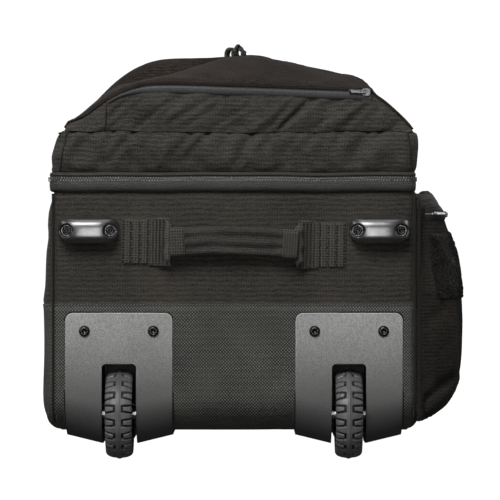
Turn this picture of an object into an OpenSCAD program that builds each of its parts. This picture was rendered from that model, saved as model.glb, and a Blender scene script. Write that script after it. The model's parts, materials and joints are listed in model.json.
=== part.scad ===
// Soft rolling flight case, lying on its back on its wheels and rail heels.
// +X is the right side seen from the base, +Y runs from the base to the handle end, +Z is the front.
// Everything is drawn with the base's fabric at y = 0 and heights measured from a level just above the
// floor, then moved so that the origin lies on the floor under the middle of the whole case.

/* [Body] */
// Width across the side panels
body_w = 340; // [320:5:360]
// Length from the base to the handle end
body_len = 705; // [620:5:760]
// Height of the back face
back_z = 22; // [20:1:26]
// Height of the main zip
zip_z = 258; // [240:2:280]
// Height of the lid's front face
lid_top = 304; // [290:2:330]
// Thickness of a padded fabric wall
wall = 4; // [3:0.5:6]
// Thickness of the stiff boards inside the walls
board_t = 3; // [2:0.5:4]

/* [Wheels] */
// Radius of the tyre at its centre rib
wheel_r = 42; // [38:0.5:43]
// Width of the tyre
wheel_w = 25; // [22:1:28]
// Distance of each wheel from the middle plane
wheel_x = 107; // [100:1:115]
// Radius of the axle
axle_r = 3; // [2.5:0.5:4]
// Width of the wheel housing's outer plate
plate_w = 99.4; // [90:0.2:104]
// Height of the plate's upper edge
plate_top = 134; // [125:1:140]

/* [Handles] */
// Distance of each pull handle tube from the middle plane
tube_x = 56; // [50:1:57]
// Travel of each of the two telescopic stages
stage_travel = 165; // [120:5:220]
// Travel of the release button
button_travel = 3.5; // [2:0.5:4]
// Width of the carry handle webbing
webbing_w = 43; // [38:1:50]
// Distance of the carry handle's grip from its panel, outer face
handle_out = 18.5; // [17:0.5:19]

/* [Hidden] */
$fn = 48;
gap = 0.3;                        // clearance between parts that move past each other
half_w = body_w / 2;
plate_t = 3;                      // housing plates
hinge_gap = 0.6;                  // between the tub's rim and the lid
lid_z = zip_z + hinge_gap;
corner_r = 38;                    // outer radius of the housing around the bag's edge
edge_r = corner_r - plate_t;      // outer radius of the bag's own edge there
housing_len = 112;                // reach of the housing along the back
wheel_y = 20;
axle_z = 39;
floor_z = axle_z - wheel_r;       // the floor that the tyres and the rail heels stand on
well_half = 16;                   // half width of the wheel well inside
well_wall = 4;
well_end = 65;
well_top = 86.5;
fender_drop = 8;                  // how much the housing drops from its edge to the wheel
screw_dx = 32;                    // housing screws from the wheel's middle plane
base_screw_z = plate_top - 17;
back_screw_y = 95;
m6_r = 3;
m5_r = 2.5;
shaft_gap = 0.2;
foot_x = 135;
foot_z = 210.5;
foot_len = 57;
foot_h = 27;
foot_out = 19.5;
foot_screw_dx = 20.2;
rail_w = 24;
rail_start = housing_len + 0.5;
rail_end = body_len - 43;
rail_h = 11;
tube_w = 24;
tube_h = 14;
tube_t = 1;
tube_z = back_z + board_t + board_t + tube_h / 2;
outer_tube_start = 74;
mid_tube_start = 90;
inner_tube_start = 110;
bezel_t = 4;
bezel_end = body_len + bezel_t;
ferrule_len = 7;
mid_tube_end = bezel_end + gap + ferrule_len;
grip_start = mid_tube_end + gap;
leg_len = 13;
grip_depth = 23;
grip_h = 25;
grip_half = 72;
grip_end = grip_start + leg_len + grip_depth;
button_half = 21;
button_h = 11;
link_y = grip_end - 10;           // centre of the bar that joins the button to its rods
link_half = 3;
rod_r = 2;
spring_x = 30;
spring_room = 4;
spring_start = link_y - link_half - button_travel - gap - spring_room;
spring_len = spring_room + button_travel + gap;
plug_len = 18;
tape_t = 2.5;
tape_h = 12;
zip_len = body_len - 15;
slider_t = 5;
carry_reach = 104.7;              // half length of a carry handle over its anchors
carry_pivot = 3.5;                // the grip's swing axis, in front of the panel
carry_z = 198.5;
top_carry_z = 165;
side_carry_z = 150;
side_carry_y = 380;
pocket_split = 240;               // where the two front pockets meet
side_pocket_start = 6;
side_pocket_end = 526;
// Outline of the side pocket seen from the base, from its upper root to its lower root
side_pocket_outline = [
    [half_w + 0.1, 241], [180, 243.5], [187, 240], [199, 224], [204.2, 208], [210, 187],
    [213, 158], [212, 96], [209.5, 80], [203, 57], [192, 44], [half_w + 0.1, 33]
];
patch_t = 1.4;
// The side pocket's zip lies on the slope between the fourth and fifth points of its outline
side_zip_top = side_pocket_outline[3];
side_zip_foot = side_pocket_outline[4];
side_zip_tilt = atan((side_zip_foot[0] - side_zip_top[0]) / (side_zip_top[1] - side_zip_foot[1]));
side_zip_start = side_pocket_start + 30;
side_zip_end = side_pocket_end - 30;
pocket_zip_z = 341;
pocket_zip_x = [-80, 128];
pocket_face_y = 9;                // base-facing side of the lower pocket
pocket_far_y = body_len - 12;     // handle-facing side of the upper pocket
crest_z = 388;                    // height of the upper pocket's crest
crest_y = pocket_split + 22;
x_low = -half_w - handle_out;
x_high = 213 + patch_t;
y_low = wheel_y - wheel_r;
y_high = grip_end + 3;

// Shapes

module along_x(length, start = 0) {
    translate([start, 0, 0]) rotate([90, 0, 90]) linear_extrude(length) children();
}

module along_y(length, start = 0) {
    translate([0, start + length, 0]) rotate([90, 0, 0]) linear_extrude(length) children();
}

module rod_x(r, length, at) {
    translate(at) rotate([0, 90, 0]) cylinder(h = length, r = r);
}

module rod_y(r, length, at) {
    translate(at) rotate([-90, 0, 0]) cylinder(h = length, r = r);
}

module block(low, high) {
    translate(low) cube(high - low);
}

module round_rect(w, h, r) {
    square([w - 2 * r, h], center = true);
    square([w, h - 2 * r], center = true);
    for (sx = [-1, 1], sy = [-1, 1])
        translate([sx * (w / 2 - r), sy * (h / 2 - r)]) circle(r);
}

// Button head screw along -Y from its seat, shaft along +Y
module screw_y(r, head_r, shaft) {
    difference() {
        rod_y(head_r, 3, [0, -3, 0]);
        translate([0, -3.1, 0]) rotate([-90, 0, 0]) cylinder(h = 2, r = r * 0.75, $fn = 6);
    }
    rod_y(r, shaft, [0, 0, 0]);
}

module nut_y(r, across, thick) {
    difference() {
        rotate([-90, 0, 0]) cylinder(h = thick, r = across, $fn = 6);
        rod_y(r + 0.05, thick + 2, [0, -1, 0]);
    }
}

// The same screw or nut with its shaft along +Z
module upright() {
    rotate([90, 0, 0]) children();
}

module place(side) {
    translate([side * wheel_x, 0, 0]) children();
}

// Housing screws: two through the base and two through the back for each wheel
module at_base_screws() {
    for (s = [-1, 1], d = [-1, 1]) translate([s * wheel_x + d * screw_dx, 0, base_screw_z]) children();
}

module at_back_screws() {
    for (s = [-1, 1], d = [-1, 1]) translate([s * wheel_x + d * screw_dx, back_screw_y, 0]) children();
}

module at_foot_screws() {
    for (s = [-1, 1], d = [-1, 1]) translate([s * foot_x + d * foot_screw_dx, 0, foot_z]) children();
}

module at_bezel_screws() {
    for (s = [-1, 1]) translate([s * 88, body_len, tube_z + 12]) children();
}

module at_rivets() {
    for (s = [-1, 1], y = [rail_start + 30 : 125 : rail_end - 60]) translate([s * wheel_x, y, 0]) children();
}

// Room that the wheel housings take out of the base, the back and their boards
module housing_cutouts(margin) {
    reach = plate_w / 2 + margin;
    inner = well_half + well_wall + margin;
    for (s = [-1, 1]) place(s) {
        block([-reach, -20, 0], [reach, corner_r + margin, corner_r + back_z - plate_t + margin]);
        block([-inner, -20, 0], [inner, well_end + well_wall + margin, well_top + well_wall + margin]);
    }
}

// Tub: five fabric walls and the boards behind them. Its edge between base and back is rounded like the housings.

module about_edge() {
    translate([edge_r, edge_r + back_z]) children();
}

module edge_wall() {
    about_edge() difference() {
        intersection() {
            circle(edge_r, $fn = 96);
            translate([-edge_r, -edge_r]) square(edge_r);
        }
        circle(edge_r - board_t, $fn = 96);
    }
}

module outside_edge() {
    about_edge() difference() {
        translate([-edge_r - 1, -edge_r - 1]) square(edge_r + 1);
        circle(edge_r - board_t, $fn = 96);
    }
}

module back_panel() {
    color("#23211f") difference() {
        block([-half_w, edge_r, back_z], [half_w, body_len, back_z + board_t]);
        housing_cutouts(gap);
        at_back_screws() cylinder(h = 60, r = m6_r + shaft_gap);
        at_rivets() cylinder(h = 60, r = m5_r + shaft_gap);
    }
}

module base_panel() {
    color("#2a2825") difference() {
        union() {
            block([-half_w, 0, back_z + edge_r], [half_w, wall, zip_z]);
            along_x(body_w, -half_w) edge_wall();
        }
        housing_cutouts(gap);
        at_base_screws() rod_y(m6_r + shaft_gap, 40, [0, -20, 0]);
        at_foot_screws() rod_y(m5_r + shaft_gap, 40, [0, -20, 0]);
    }
}

module side_panel(side) {
    inner = half_w - wall;
    color("#282623") difference() {
        translate([side > 0 ? inner : -half_w, wall, back_z + board_t])
            cube([wall, body_len - 2 * wall, zip_z - back_z - board_t]);
        along_x(body_w + 2, -half_w - 1) outside_edge();
    }
}

module top_panel() {
    color("#2a2825") difference() {
        block([-half_w, body_len - wall, back_z + board_t], [half_w, body_len, zip_z]);
        for (s = [-1, 1]) block(
            [s * tube_x - tube_w / 2 - gap, 0, tube_z - tube_h / 2 - 1],
            [s * tube_x + tube_w / 2 + gap, 2 * body_len, tube_z + tube_h / 2 + gap]);
        at_bezel_screws() rod_y(m5_r + shaft_gap, 40, [0, -20, 0]);
    }
}

module back_board() {
    z = back_z + board_t;
    color("#161616") difference() {
        block([-half_w + 8, edge_r, z], [half_w - 8, body_len - wall - 2, z + board_t]);
        housing_cutouts(gap);
        at_back_screws() cylinder(h = 60, r = m6_r + shaft_gap);
        at_rivets() cylinder(h = 60, r = m5_r + shaft_gap);
    }
}

module base_board() {
    color("#161616") difference() {
        block([-half_w + 8, wall, back_z + edge_r], [half_w - 8, wall + board_t, zip_z - 10]);
        housing_cutouts(gap);
        at_base_screws() rod_y(m6_r + shaft_gap, 40, [0, -20, 0]);
        at_foot_screws() rod_y(m5_r + shaft_gap, 40, [0, -20, 0]);
    }
}

module floor_pad() {
    z = tube_z + tube_h / 2 + 0.5;
    color("#3a3a3c") block([-half_w + wall, well_end + well_wall + 1, z], [half_w - wall, body_len - 16, z + 4]);
}

// Half of the main zip: a band around the base and both sides
module zip_band(z_low, z_high) {
    outer_w = body_w + 2 * tape_t;
    outer_l = zip_len + tape_t;
    color("#33353a") translate([0, 0, z_low]) linear_extrude(z_high - z_low) difference() {
        translate([0, outer_l / 2 - tape_t]) round_rect(outer_w, outer_l, 6);
        translate([-half_w, 0]) square([body_w, body_len]);
        translate([-half_w - 10, zip_len - 8]) square([body_w + 20, 20]);
    }
}

module main_zip_lower() {
    zip_band(zip_z - tape_h, zip_z);
}

module main_zip_upper() {
    zip_band(lid_z, lid_z + tape_h / 2);
}

module hinge_binding() {
    color("#1c1b1a") block([-half_w + 10, body_len, zip_z - 28], [half_w - 10, body_len + 1.5, zip_z - 0.4]);
}

// Side pocket

module side_pocket_end_cap(y) {
    along_y(1, y) intersection() {
        polygon(side_pocket_outline);
        translate([half_w, 40]) square([24, 195]);
    }
}

module side_pocket() {
    color("#2a2724") hull() {
        side_pocket_end_cap(side_pocket_start);
        along_y(side_zip_end - side_zip_start, side_zip_start) polygon(side_pocket_outline);
        side_pocket_end_cap(side_pocket_end - 1);
    }
}

// Frame of the side pocket's zip: +X outwards from the pocket's upper slope, z = 0 along the teeth
module at_side_zip() {
    translate([side_zip_top[0], 0, side_zip_top[1]]) rotate([0, -side_zip_tilt, 0])
        translate([0, 0, -8]) children();
}

module side_pocket_zip() {
    color("#33353a") at_side_zip() block([0, side_zip_start, -6], [tape_t, side_zip_end, 6]);
}

module side_pocket_slider() {
    color("#8a8a88") at_side_zip() {
        x = tape_t + gap;
        y = side_zip_start + 2;
        block([x, y, -6], [x + slider_t, y + 14, 6]);
        block([x + 1, y + 14, -3], [x + 3, y + 44, 3]);
    }
}

module loop_patch() {
    color("#141312") along_y(120, 40) difference() {
        translate([patch_t, patch_t / 4]) polygon(side_pocket_outline);
        polygon(side_pocket_outline);
        translate([0, -1]) square([240, 147]);
        translate([0, 209]) square([240, 100]);
    }
}

// Wheel housings

module housing_outline(inset) {
    r = corner_r - inset;
    y0 = -plate_t + inset;
    z0 = back_z - plate_t + inset;
    translate([y0, z0 + r]) square([housing_len + 20, plate_top + 20]);
    translate([y0 + r, z0]) square([housing_len + 20, r + 1]);
    translate([y0 + r, z0 + r]) circle(r, $fn = 96);
}

module corner_trim(r) {
    difference() {
        square(r + 1);
        circle(r);
    }
}

// One slice of the solid corner between the plate's bend and the wheel, and one of the fender along the back
module corner_slice(drop) {
    cy = -plate_t + corner_r;
    cz = back_z - plate_t + corner_r - drop;
    intersection() {
        union() {
            translate([cy, cz]) circle(corner_r, $fn = 64);
            translate([cy, cz - corner_r]) square([10, corner_r]);
            translate([cy - corner_r, cz]) square([corner_r, corner_r]);
        }
        translate([-plate_t, 0]) square([corner_r + 0.1, back_z - plate_t + corner_r]);
    }
}

module fender_slice(drop) {
    z0 = back_z - plate_t;
    polygon([[corner_r - plate_t, z0 + 1], [corner_r - plate_t, z0 - drop], [80, z0 - drop],
        [housing_len, z0 - drop / 8], [housing_len, z0 + 1]]);
}

module wheel_housing(side) {
    half = plate_w / 2;
    outer = well_half + well_wall;
    color("#4a4b4b") place(side) difference() {
        union() {
            difference() {
                along_x(plate_w, -half) intersection() {
                    difference() {
                        housing_outline(0);
                        housing_outline(plate_t);
                    }
                    translate([-plate_t, 0]) square([housing_len + plate_t, plate_top]);
                }
                for (s = [-1, 1]) {
                    along_y(20, -10) translate([s * (half - 7), plate_top - 7]) mirror([s < 0 ? 1 : 0, 0]) corner_trim(7);
                    translate([s * (half - 7), housing_len - 7, 0])
                        linear_extrude(40) mirror([s < 0 ? 1 : 0, 0]) corner_trim(7);
                }
            }
            along_x(2 * outer, -outer) intersection() {
                housing_outline(0);
                translate([-plate_t, 0]) square([well_end + well_wall + plate_t, well_top + well_wall]);
            }
            for (s = [-1, 1]) mirror([s < 0 ? 1 : 0, 0, 0]) {
                hull() {
                    along_x(1, well_half) corner_slice(fender_drop);
                    along_x(1, half - 1) corner_slice(0);
                }
                hull() {
                    along_x(1, well_half) fender_slice(fender_drop);
                    along_x(1, half - 1) fender_slice(0);
                }
            }
        }
        block([-well_half, -30, -10], [well_half, well_end, well_top - 4]);
        along_y(well_end + 30, -30) translate([0, well_top - 8]) round_rect(2 * well_half, 16, 4);
        rod_x(axle_r + 0.05, 2 * half, [-half, wheel_y, axle_z]);
        // Room for the axle's head and nut, open upwards into the bag
        for (s = [-1, 1]) mirror([s < 0 ? 1 : 0, 0, 0]) {
            rod_x(9, 14, [outer, wheel_y, axle_z]);
            block([outer, wheel_y - 9, axle_z], [outer + 14, wheel_y + 9, axle_z + 40]);
        }
        for (d = [-1, 1]) {
            rod_y(m6_r + shaft_gap, 40, [d * screw_dx, -20, base_screw_z]);
            translate([d * screw_dx, back_screw_y, -5]) cylinder(h = 50, r = m6_r + shaft_gap);
            translate([d * screw_dx, back_screw_y, -5]) cylinder(h = back_z - plate_t + 5, r = 6.5);
        }
    }
}

module axles() {
    outer = well_half + well_wall;
    for (s = [-1, 1]) color("#c8c8c8") place(s) {
        rod_x(axle_r, 2 * outer + 5, [-outer - 5, wheel_y, axle_z]);
        rod_x(6, 3.5, [outer, wheel_y, axle_z]);
    }
}

module axle_spacers() {
    for (s = [-1, 1], d = [-1, 1]) color("#d0d0d0") place(s) difference() {
        rod_x(4.5, 4.6, [d > 0 ? 11.3 : -15.9, wheel_y, axle_z]);
        rod_x(axle_r + 0.05, 40, [-20, wheel_y, axle_z]);
    }
}

module axle_nuts() {
    outer = well_half + well_wall;
    for (s = [-1, 1]) color("#a0a0a0") place(s) difference() {
        translate([-outer - 4.5, wheel_y, axle_z]) rotate([0, 90, 0]) cylinder(h = 4.4, r = 6, $fn = 6);
        rod_x(axle_r + 0.05, 60, [-outer - 20, wheel_y, axle_z]);
    }
}

module housing_screws() {
    color("#1a1a1a") {
        at_base_screws() translate([0, -plate_t, 0]) screw_y(m6_r, 5.25, 15);
        at_back_screws() translate([0, 0, back_z - plate_t]) upright() screw_y(m6_r, 5.25, 15);
    }
}

module housing_nuts() {
    color("#8c8c8c") {
        at_base_screws() translate([0, wall + board_t, 0]) nut_y(m6_r, 5.7, 4);
        at_back_screws() translate([0, 0, back_z + 2 * board_t]) upright() nut_y(m6_r, 5.7, 4);
    }
}

// Wheels

module tyre(side) {
    half = wheel_w / 2;
    color("#3c3d3d") place(side) translate([0, wheel_y, axle_z]) rotate([0, 90, 0]) rotate_extrude($fn = 96)
        polygon([[27, -11], [31, -half], [wheel_r - 5, -half], [wheel_r - 1, -4], [wheel_r, 0],
            [wheel_r - 1, 4], [wheel_r - 5, half], [31, half], [27, 11]]);
}

module hub(side) {
    color("#1e1e1e") place(side) translate([0, wheel_y, axle_z]) rotate([0, 90, 0]) difference() {
        cylinder(h = 22, r = 27, center = true, $fn = 96);
        cylinder(h = 30, r = axle_r + 2, center = true);
        for (s = [-1, 1]) {
            translate([0, 0, s * 8.5]) cylinder(h = 5.001, r = 8, center = true);
            translate([0, 0, s * 9.5]) difference() {
                cylinder(h = 7, r = 23, center = true);
                cylinder(h = 8, r = 11, center = true);
            }
        }
        for (k = [0 : 5]) rotate(60 * k) translate([17, 0, 0]) cylinder(h = 30, r = 4, center = true);
    }
}

module bearings(side) {
    for (s = [-1, 1]) color("#b4b4b4") place(side) translate([s * 8.5, wheel_y, axle_z]) rotate([0, 90, 0])
        difference() {
            cylinder(h = 5, r = 8, center = true);
            cylinder(h = 6, r = axle_r + 0.05, center = true);
        }
}

// Feet on the base

// Outline of a foot seen from above: a low flange at each end and a rounded hump between
module foot_plan() {
    half = foot_len / 2;
    arc = 32;
    intersection() {
        translate([0, arc - foot_out]) circle(arc, $fn = 96);
        translate([-half, -foot_out]) square([foot_len, foot_out]);
    }
    translate([-half, -6]) square([foot_len, 6]);
}

module foot(side) {
    color("#2c2c2c") translate([side * foot_x, 0, foot_z]) difference() {
        intersection() {
            along_y(foot_out, -foot_out) round_rect(foot_len, foot_h, foot_h / 2 - 0.5);
            linear_extrude(foot_h + 2, center = true) foot_plan();
            along_x(foot_len + 2, -foot_len / 2 - 1) {
                translate([-foot_out + 9, -foot_h / 2]) square([foot_out - 9, foot_h]);
                translate([-foot_out + 13.5, 0]) circle(foot_h / 2, $fn = 64);
            }
        }
        for (d = [-1, 1]) {
            rod_y(m5_r + shaft_gap, 40, [d * foot_screw_dx, -20, 0]);
            rod_y(5.4, 30, [d * foot_screw_dx, -36, 0]);
        }
    }
}

module foot_screws() {
    color("#1a1a1a") at_foot_screws() translate([0, -6, 0]) screw_y(m5_r, 4.75, 17);
}

module foot_nuts() {
    color("#8c8c8c") at_foot_screws() translate([0, wall + board_t, 0]) nut_y(m5_r, 4.6, 4);
}

// Skid rails along the back, each ending in a heel that reaches the floor

module skid_rail(side) {
    half = rail_w / 2;
    z1 = back_z - rail_h;
    color("#262626") place(side) difference() {
        intersection() {
            along_x(rail_w, -half) polygon([[rail_start, back_z], [rail_start, z1], [rail_end - 72, z1],
                [rail_end - 50, floor_z], [rail_end - 12, floor_z], [rail_end, back_z]]);
            along_y(body_len) polygon([[-half, back_z], [-half + 3.5, floor_z], [half - 3.5, floor_z],
                [half, back_z]]);
        }
        translate([-side * wheel_x, 0, 0]) at_rivets() {
            translate([0, 0, -1]) cylinder(h = 60, r = m5_r + shaft_gap);
            translate([0, 0, -1]) cylinder(h = back_z - 5, r = 5.5);
        }
    }
}

module rail_rivets() {
    color("#7c7c7c") at_rivets() {
        translate([0, 0, back_z - 6 - 2]) cylinder(h = 2, r = 5);
        translate([0, 0, back_z - 6]) cylinder(h = 12, r = m5_r);
    }
}

// Telescopic pull handle

module tube_profile(w, h) {
    round_rect(w, h, 3);
}

module tube(side, w, h, from, to) {
    color("#9a9c9e") translate([side * tube_x, 0, tube_z]) along_y(to - from, from) difference() {
        tube_profile(w, h);
        round_rect(w - 2 * tube_t, h - 2 * tube_t, 2);
    }
}

module outer_tubes() {
    for (s = [-1, 1]) tube(s, tube_w, tube_h, outer_tube_start, body_len);
}

mid_w = tube_w - 2 * tube_t - 2 * gap;
mid_h = tube_h - 2 * tube_t - 2 * gap;
inner_w = mid_w - 2 * tube_t - 2 * gap;
inner_h = mid_h - 2 * tube_t - 2 * gap;

module mid_tubes() {
    for (s = [-1, 1]) tube(s, mid_w, mid_h, mid_tube_start, mid_tube_end);
}

module mid_ferrules() {
    for (s = [-1, 1]) color("#1c1c1c") translate([s * tube_x, 0, tube_z])
        along_y(ferrule_len, mid_tube_end - ferrule_len) difference() {
            round_rect(tube_w + 3, tube_h + 3, 4);
            tube_profile(mid_w, mid_h);
        }
}

module inner_tubes() {
    for (s = [-1, 1]) difference() {
        tube(s, inner_w, inner_h, inner_tube_start, grip_start + leg_len);
        rod_x(2.1, 40, [s * tube_x - 20, inner_tube_start + plug_len / 2, tube_z]);
    }
}

module lock_plugs() {
    pin_half = mid_w / 2 - tube_t - 0.15;
    for (s = [-1, 1]) color("#303030") {
        translate([s * tube_x, 0, tube_z]) along_y(plug_len, inner_tube_start)
            round_rect(inner_w - 2 * tube_t, inner_h - 2 * tube_t, 2);
        rod_x(2, 2 * pin_half, [s * tube_x - pin_half, inner_tube_start + plug_len / 2, tube_z]);
    }
}

module tube_bracket() {
    color("#202020") difference() {
        block([-tube_x - 22, outer_tube_start - 6, back_z + 2 * board_t],
            [tube_x + 22, outer_tube_start + 8, tube_z + tube_h / 2 + gap]);
        for (s = [-1, 1]) translate([s * tube_x, 0, tube_z]) along_y(40, outer_tube_start) tube_profile(tube_w, tube_h);
    }
}

// Moulded plate around the tubes, with the dish that the grip rests in
module handle_bezel() {
    half = 110;
    color("#2b2b2b") difference() {
        union() {
            along_y(bezel_t, body_len) translate([0, back_z + 22]) round_rect(2 * half, 50, 9);
            block([-half, body_len - 38, back_z - 3], [half, body_len, back_z]);
            block([-half, body_len, back_z - 3], [half, bezel_end, back_z + 10]);
        }
        for (s = [-1, 1]) translate([s * tube_x, 0, tube_z]) along_y(40, body_len - 5)
            tube_profile(tube_w - 2 * tube_t, tube_h - 2 * tube_t);
        at_bezel_screws() rod_y(m5_r + shaft_gap, 40, [0, -20, 0]);
    }
}

module bezel_screws() {
    color("#1a1a1a") at_bezel_screws() mirror([0, 1, 0]) translate([0, -bezel_t, 0]) screw_y(m5_r, 4.75, 14);
}

module pull_grip() {
    y0 = grip_start + leg_len;
    color("#232323") difference() {
        union() {
            for (s = [-1, 1]) translate([s * tube_x, 0, tube_z])
                along_y(leg_len + 4, grip_start) round_rect(tube_w + 2, tube_h + 1, 4);
            along_x(2 * grip_half, -grip_half) translate([y0 + grip_depth / 2, tube_z])
                round_rect(grip_depth, grip_h, 9);
        }
        for (s = [-1, 1]) translate([s * tube_x, 0, tube_z]) {
            along_y(leg_len + 0.01, grip_start - 0.01) tube_profile(inner_w, inner_h);
            along_y(link_y - grip_start, grip_start) square([8, 6], center = true);
        }
        // Hollow for the button, its bar and the springs
        block([-tube_x - 5, link_y - link_half - button_travel - gap, tube_z - 4],
            [tube_x + 5, link_y + link_half + gap, tube_z + 4]);
        for (s = [-1, 1]) rod_y(2.6, spring_room + 1, [s * spring_x, spring_start, tube_z]);
        along_y(30, link_y - link_half - button_travel - gap) translate([0, tube_z])
            round_rect(2 * button_half + 2 * gap, button_h + 2 * gap, 5);
    }
}

module release_button() {
    color("#3a3a3a") {
        along_y(grip_end + 3 - link_y + link_half, link_y - link_half) translate([0, tube_z])
            round_rect(2 * button_half, button_h, 4.7);
        block([-tube_x - 4.5, link_y - link_half, tube_z - 3], [tube_x + 4.5, link_y + link_half, tube_z + 3]);
        for (s = [-1, 1])
            rod_y(rod_r, link_y - inner_tube_start - plug_len - button_travel - 2,
                [s * tube_x, inner_tube_start + plug_len + button_travel + 2, tube_z]);
    }
}

// Closed coils that fill each spring's room between its pocket and the bar
module button_springs() {
    turns = 5;
    wire_r = 0.35;
    pitch = (spring_len - 2 * wire_r) / (turns - 1);
    for (s = [-1, 1], k = [0 : turns - 1]) color("#b0b0b0")
        translate([s * spring_x, spring_start + wire_r + k * pitch, tube_z]) rotate([-90, 0, 0])
            rotate_extrude($fn = 32) translate([1.8, 0]) circle(wire_r, $fn = 16);
}

// Carry handles: stitched webbing anchors on the panel and a padded grip that swings between them.
// Local frame: the panel is y = 0, outwards is -Y.

module carry_anchor_pair() {
    for (s = [-1, 1]) mirror([s < 0 ? 1 : 0, 0, 0])
        block([75, -2.4, -webbing_w / 2], [carry_reach, 0, webbing_w / 2]);
}

module carry_grip() {
    inner = handle_out - 9;
    color("#2b2926") {
        along_x(112, -56) translate([-handle_out + 4.5, 0]) round_rect(9, 26, 4.4);
        for (s = [-1, 1]) mirror([s < 0 ? 1 : 0, 0, 0]) hull() {
            block([55, -inner - 8, -13], [56, -inner - 1, 13]);
            block([73.5, -carry_pivot - 1, -4], [74.5, -carry_pivot + 1, 4]);
        }
    }
}

module on_base() {
    translate([0, 0, carry_z]) children();
}

module on_top() {
    translate([0, body_len, top_carry_z]) rotate([0, 0, 180]) children();
}

module on_side() {
    translate([-half_w, side_carry_y, side_carry_z]) rotate([0, 0, -90]) children();
}

module carry_anchors() {
    color("#2e2c29") {
        on_base() carry_anchor_pair();
        on_top() carry_anchor_pair();
        on_side() carry_anchor_pair();
    }
}

// Lid and front pockets

module lid_gusset() {
    color("#2a2825") difference() {
        block([-half_w, 0, lid_z], [half_w, body_len, lid_top - wall]);
        block([-half_w + wall, wall, lid_z - 1], [half_w - wall, body_len - wall, lid_top]);
    }
}

module lid_panel() {
    color("#282623") block([-half_w, 0, lid_top - wall], [half_w, body_len, lid_top]);
}

// A pocket is drawn between its root on the lid, its zip line and its crest, each [x, y, z] low and high corners
module pocket(root_low, root_high, zip_low, zip_high, crest_low, crest_high) {
    hull() {
        block(root_low, root_high);
        block(zip_low, zip_high);
        block(crest_low, crest_high);
    }
}

module lower_pocket() {
    color("#2a2825") pocket(
        [-158, pocket_face_y, lid_top], [166, pocket_split - 3, lid_top + 1],
        [-108, pocket_face_y, pocket_zip_z - 6], [132, pocket_split - 20, pocket_zip_z + 6],
        [-60, 90, 372], [78, pocket_split - 55, 378]);
}

module upper_pocket() {
    color("#2a2825") pocket(
        [-162, pocket_split + 3, lid_top], [162, pocket_far_y, lid_top + 1],
        [-132, pocket_split + 10, 340], [132, pocket_far_y, 356],
        [-80, crest_y, crest_z - 6], [80, body_len - 90, crest_z]);
}

// One zip on the lower pocket's base-facing side and one on the upper pocket's handle-facing side
module pocket_zips() {
    z = pocket_zip_z;
    x = pocket_zip_x;
    color("#33353a") {
        block([x[0], pocket_face_y - tape_t, z - 6], [x[1], pocket_face_y, z + 6]);
        block([-100, pocket_far_y, 343], [100, pocket_far_y + tape_t, 354]);
    }
}

// Two webbing loops side by side on the crest
module lash_loop() {
    color("#1c1b1a") for (x = [-5.5, 5.5])
        along_y(20, crest_y + 2) translate([x, crest_z + 6.5]) difference() {
            round_rect(11, 13, 4.5);
            round_rect(8, 10, 3.2);
        }
}

// Zip sliders, each with its pull

// Slider lying on a band whose outer face is x = 0, outwards is -X, pull hanging down
module main_slider(y) {
    x = -half_w - tape_t - gap;
    color("#1d1d1d") {
        block([x - slider_t, y - 7, zip_z - 6], [x, y + 7, zip_z + 6]);
        block([x - 3.5, y - 4, zip_z - 38], [x - 1.5, y + 4, zip_z - 6]);
    }
}

module main_slider_near() {
    main_slider(side_carry_y - 120);
}

module main_slider_far() {
    main_slider(side_carry_y - 104);
}

module lower_pocket_slider() {
    z = pocket_zip_z;
    x = pocket_zip_x[1];
    y = pocket_face_y - tape_t - gap;
    color("#8a8a88") {
        block([x - 11, y - slider_t, z - 6], [x, y, z + 6]);
        block([x - 22, y - 3, z - 2.5], [x - 11, y - 1, z + 2.5]);
    }
}

module upper_pocket_slider() {
    y = pocket_far_y + tape_t + gap;
    color("#8a8a88") {
        block([-7, y, 343], [7, y + slider_t, 354]);
        block([-4, y + 1.5, 318], [4, y + 3.5, 343]);
    }
}

module centred() {
    translate([-(x_low + x_high) / 2, -(y_low + y_high) / 2, -floor_z]) children();
}

centred() back_panel();
centred() base_panel();
centred() side_panel(-1);  // side_panel_left
centred() side_panel(1);  // side_panel_right
centred() top_panel();
centred() back_board();
centred() base_board();
centred() floor_pad();
centred() main_zip_lower();
centred() hinge_binding();
centred() side_pocket();
centred() side_pocket_zip();
centred() loop_patch();
centred() wheel_housing(-1);  // wheel_housing_left
centred() wheel_housing(1);  // wheel_housing_right
centred() axles();
centred() axle_spacers();
centred() axle_nuts();
centred() housing_screws();
centred() housing_nuts();
centred() foot(-1);  // foot_left
centred() foot(1);  // foot_right
centred() foot_screws();
centred() foot_nuts();
centred() skid_rail(-1);  // skid_rail_left
centred() skid_rail(1);  // skid_rail_right
centred() rail_rivets();
centred() outer_tubes();
centred() tube_bracket();
centred() handle_bezel();
centred() bezel_screws();
centred() carry_anchors();
centred() tyre(-1);  // tyre_left
centred() hub(-1);  // hub_left
centred() bearings(-1);  // bearings_left
centred() tyre(1);  // tyre_right
centred() hub(1);  // hub_right
centred() bearings(1);  // bearings_right
centred() lid_gusset();
centred() lid_panel();
centred() main_zip_upper();
centred() lower_pocket();
centred() upper_pocket();
centred() pocket_zips();
centred() lash_loop();
centred() mid_tubes();
centred() mid_ferrules();
centred() inner_tubes();
centred() lock_plugs();
centred() pull_grip();
centred() release_button();
centred() button_springs();
centred() on_base() carry_grip();  // base_carry_grip
centred() on_top() carry_grip();  // top_carry_grip
centred() on_side() carry_grip();  // side_carry_grip
centred() main_slider_near();
centred() main_slider_far();
centred() side_pocket_slider();
centred() lower_pocket_slider();
centred() upper_pocket_slider();
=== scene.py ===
"""Fabric, webbing, zips, wheels, plastics and studio for the rolling flight case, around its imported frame.

Shapes are worked out in the case's own millimetres: x = 0 is its middle plane, y = 0 its base panel, and
its back lies at z = 22. place() turns them into the row's metres.
"""

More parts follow.
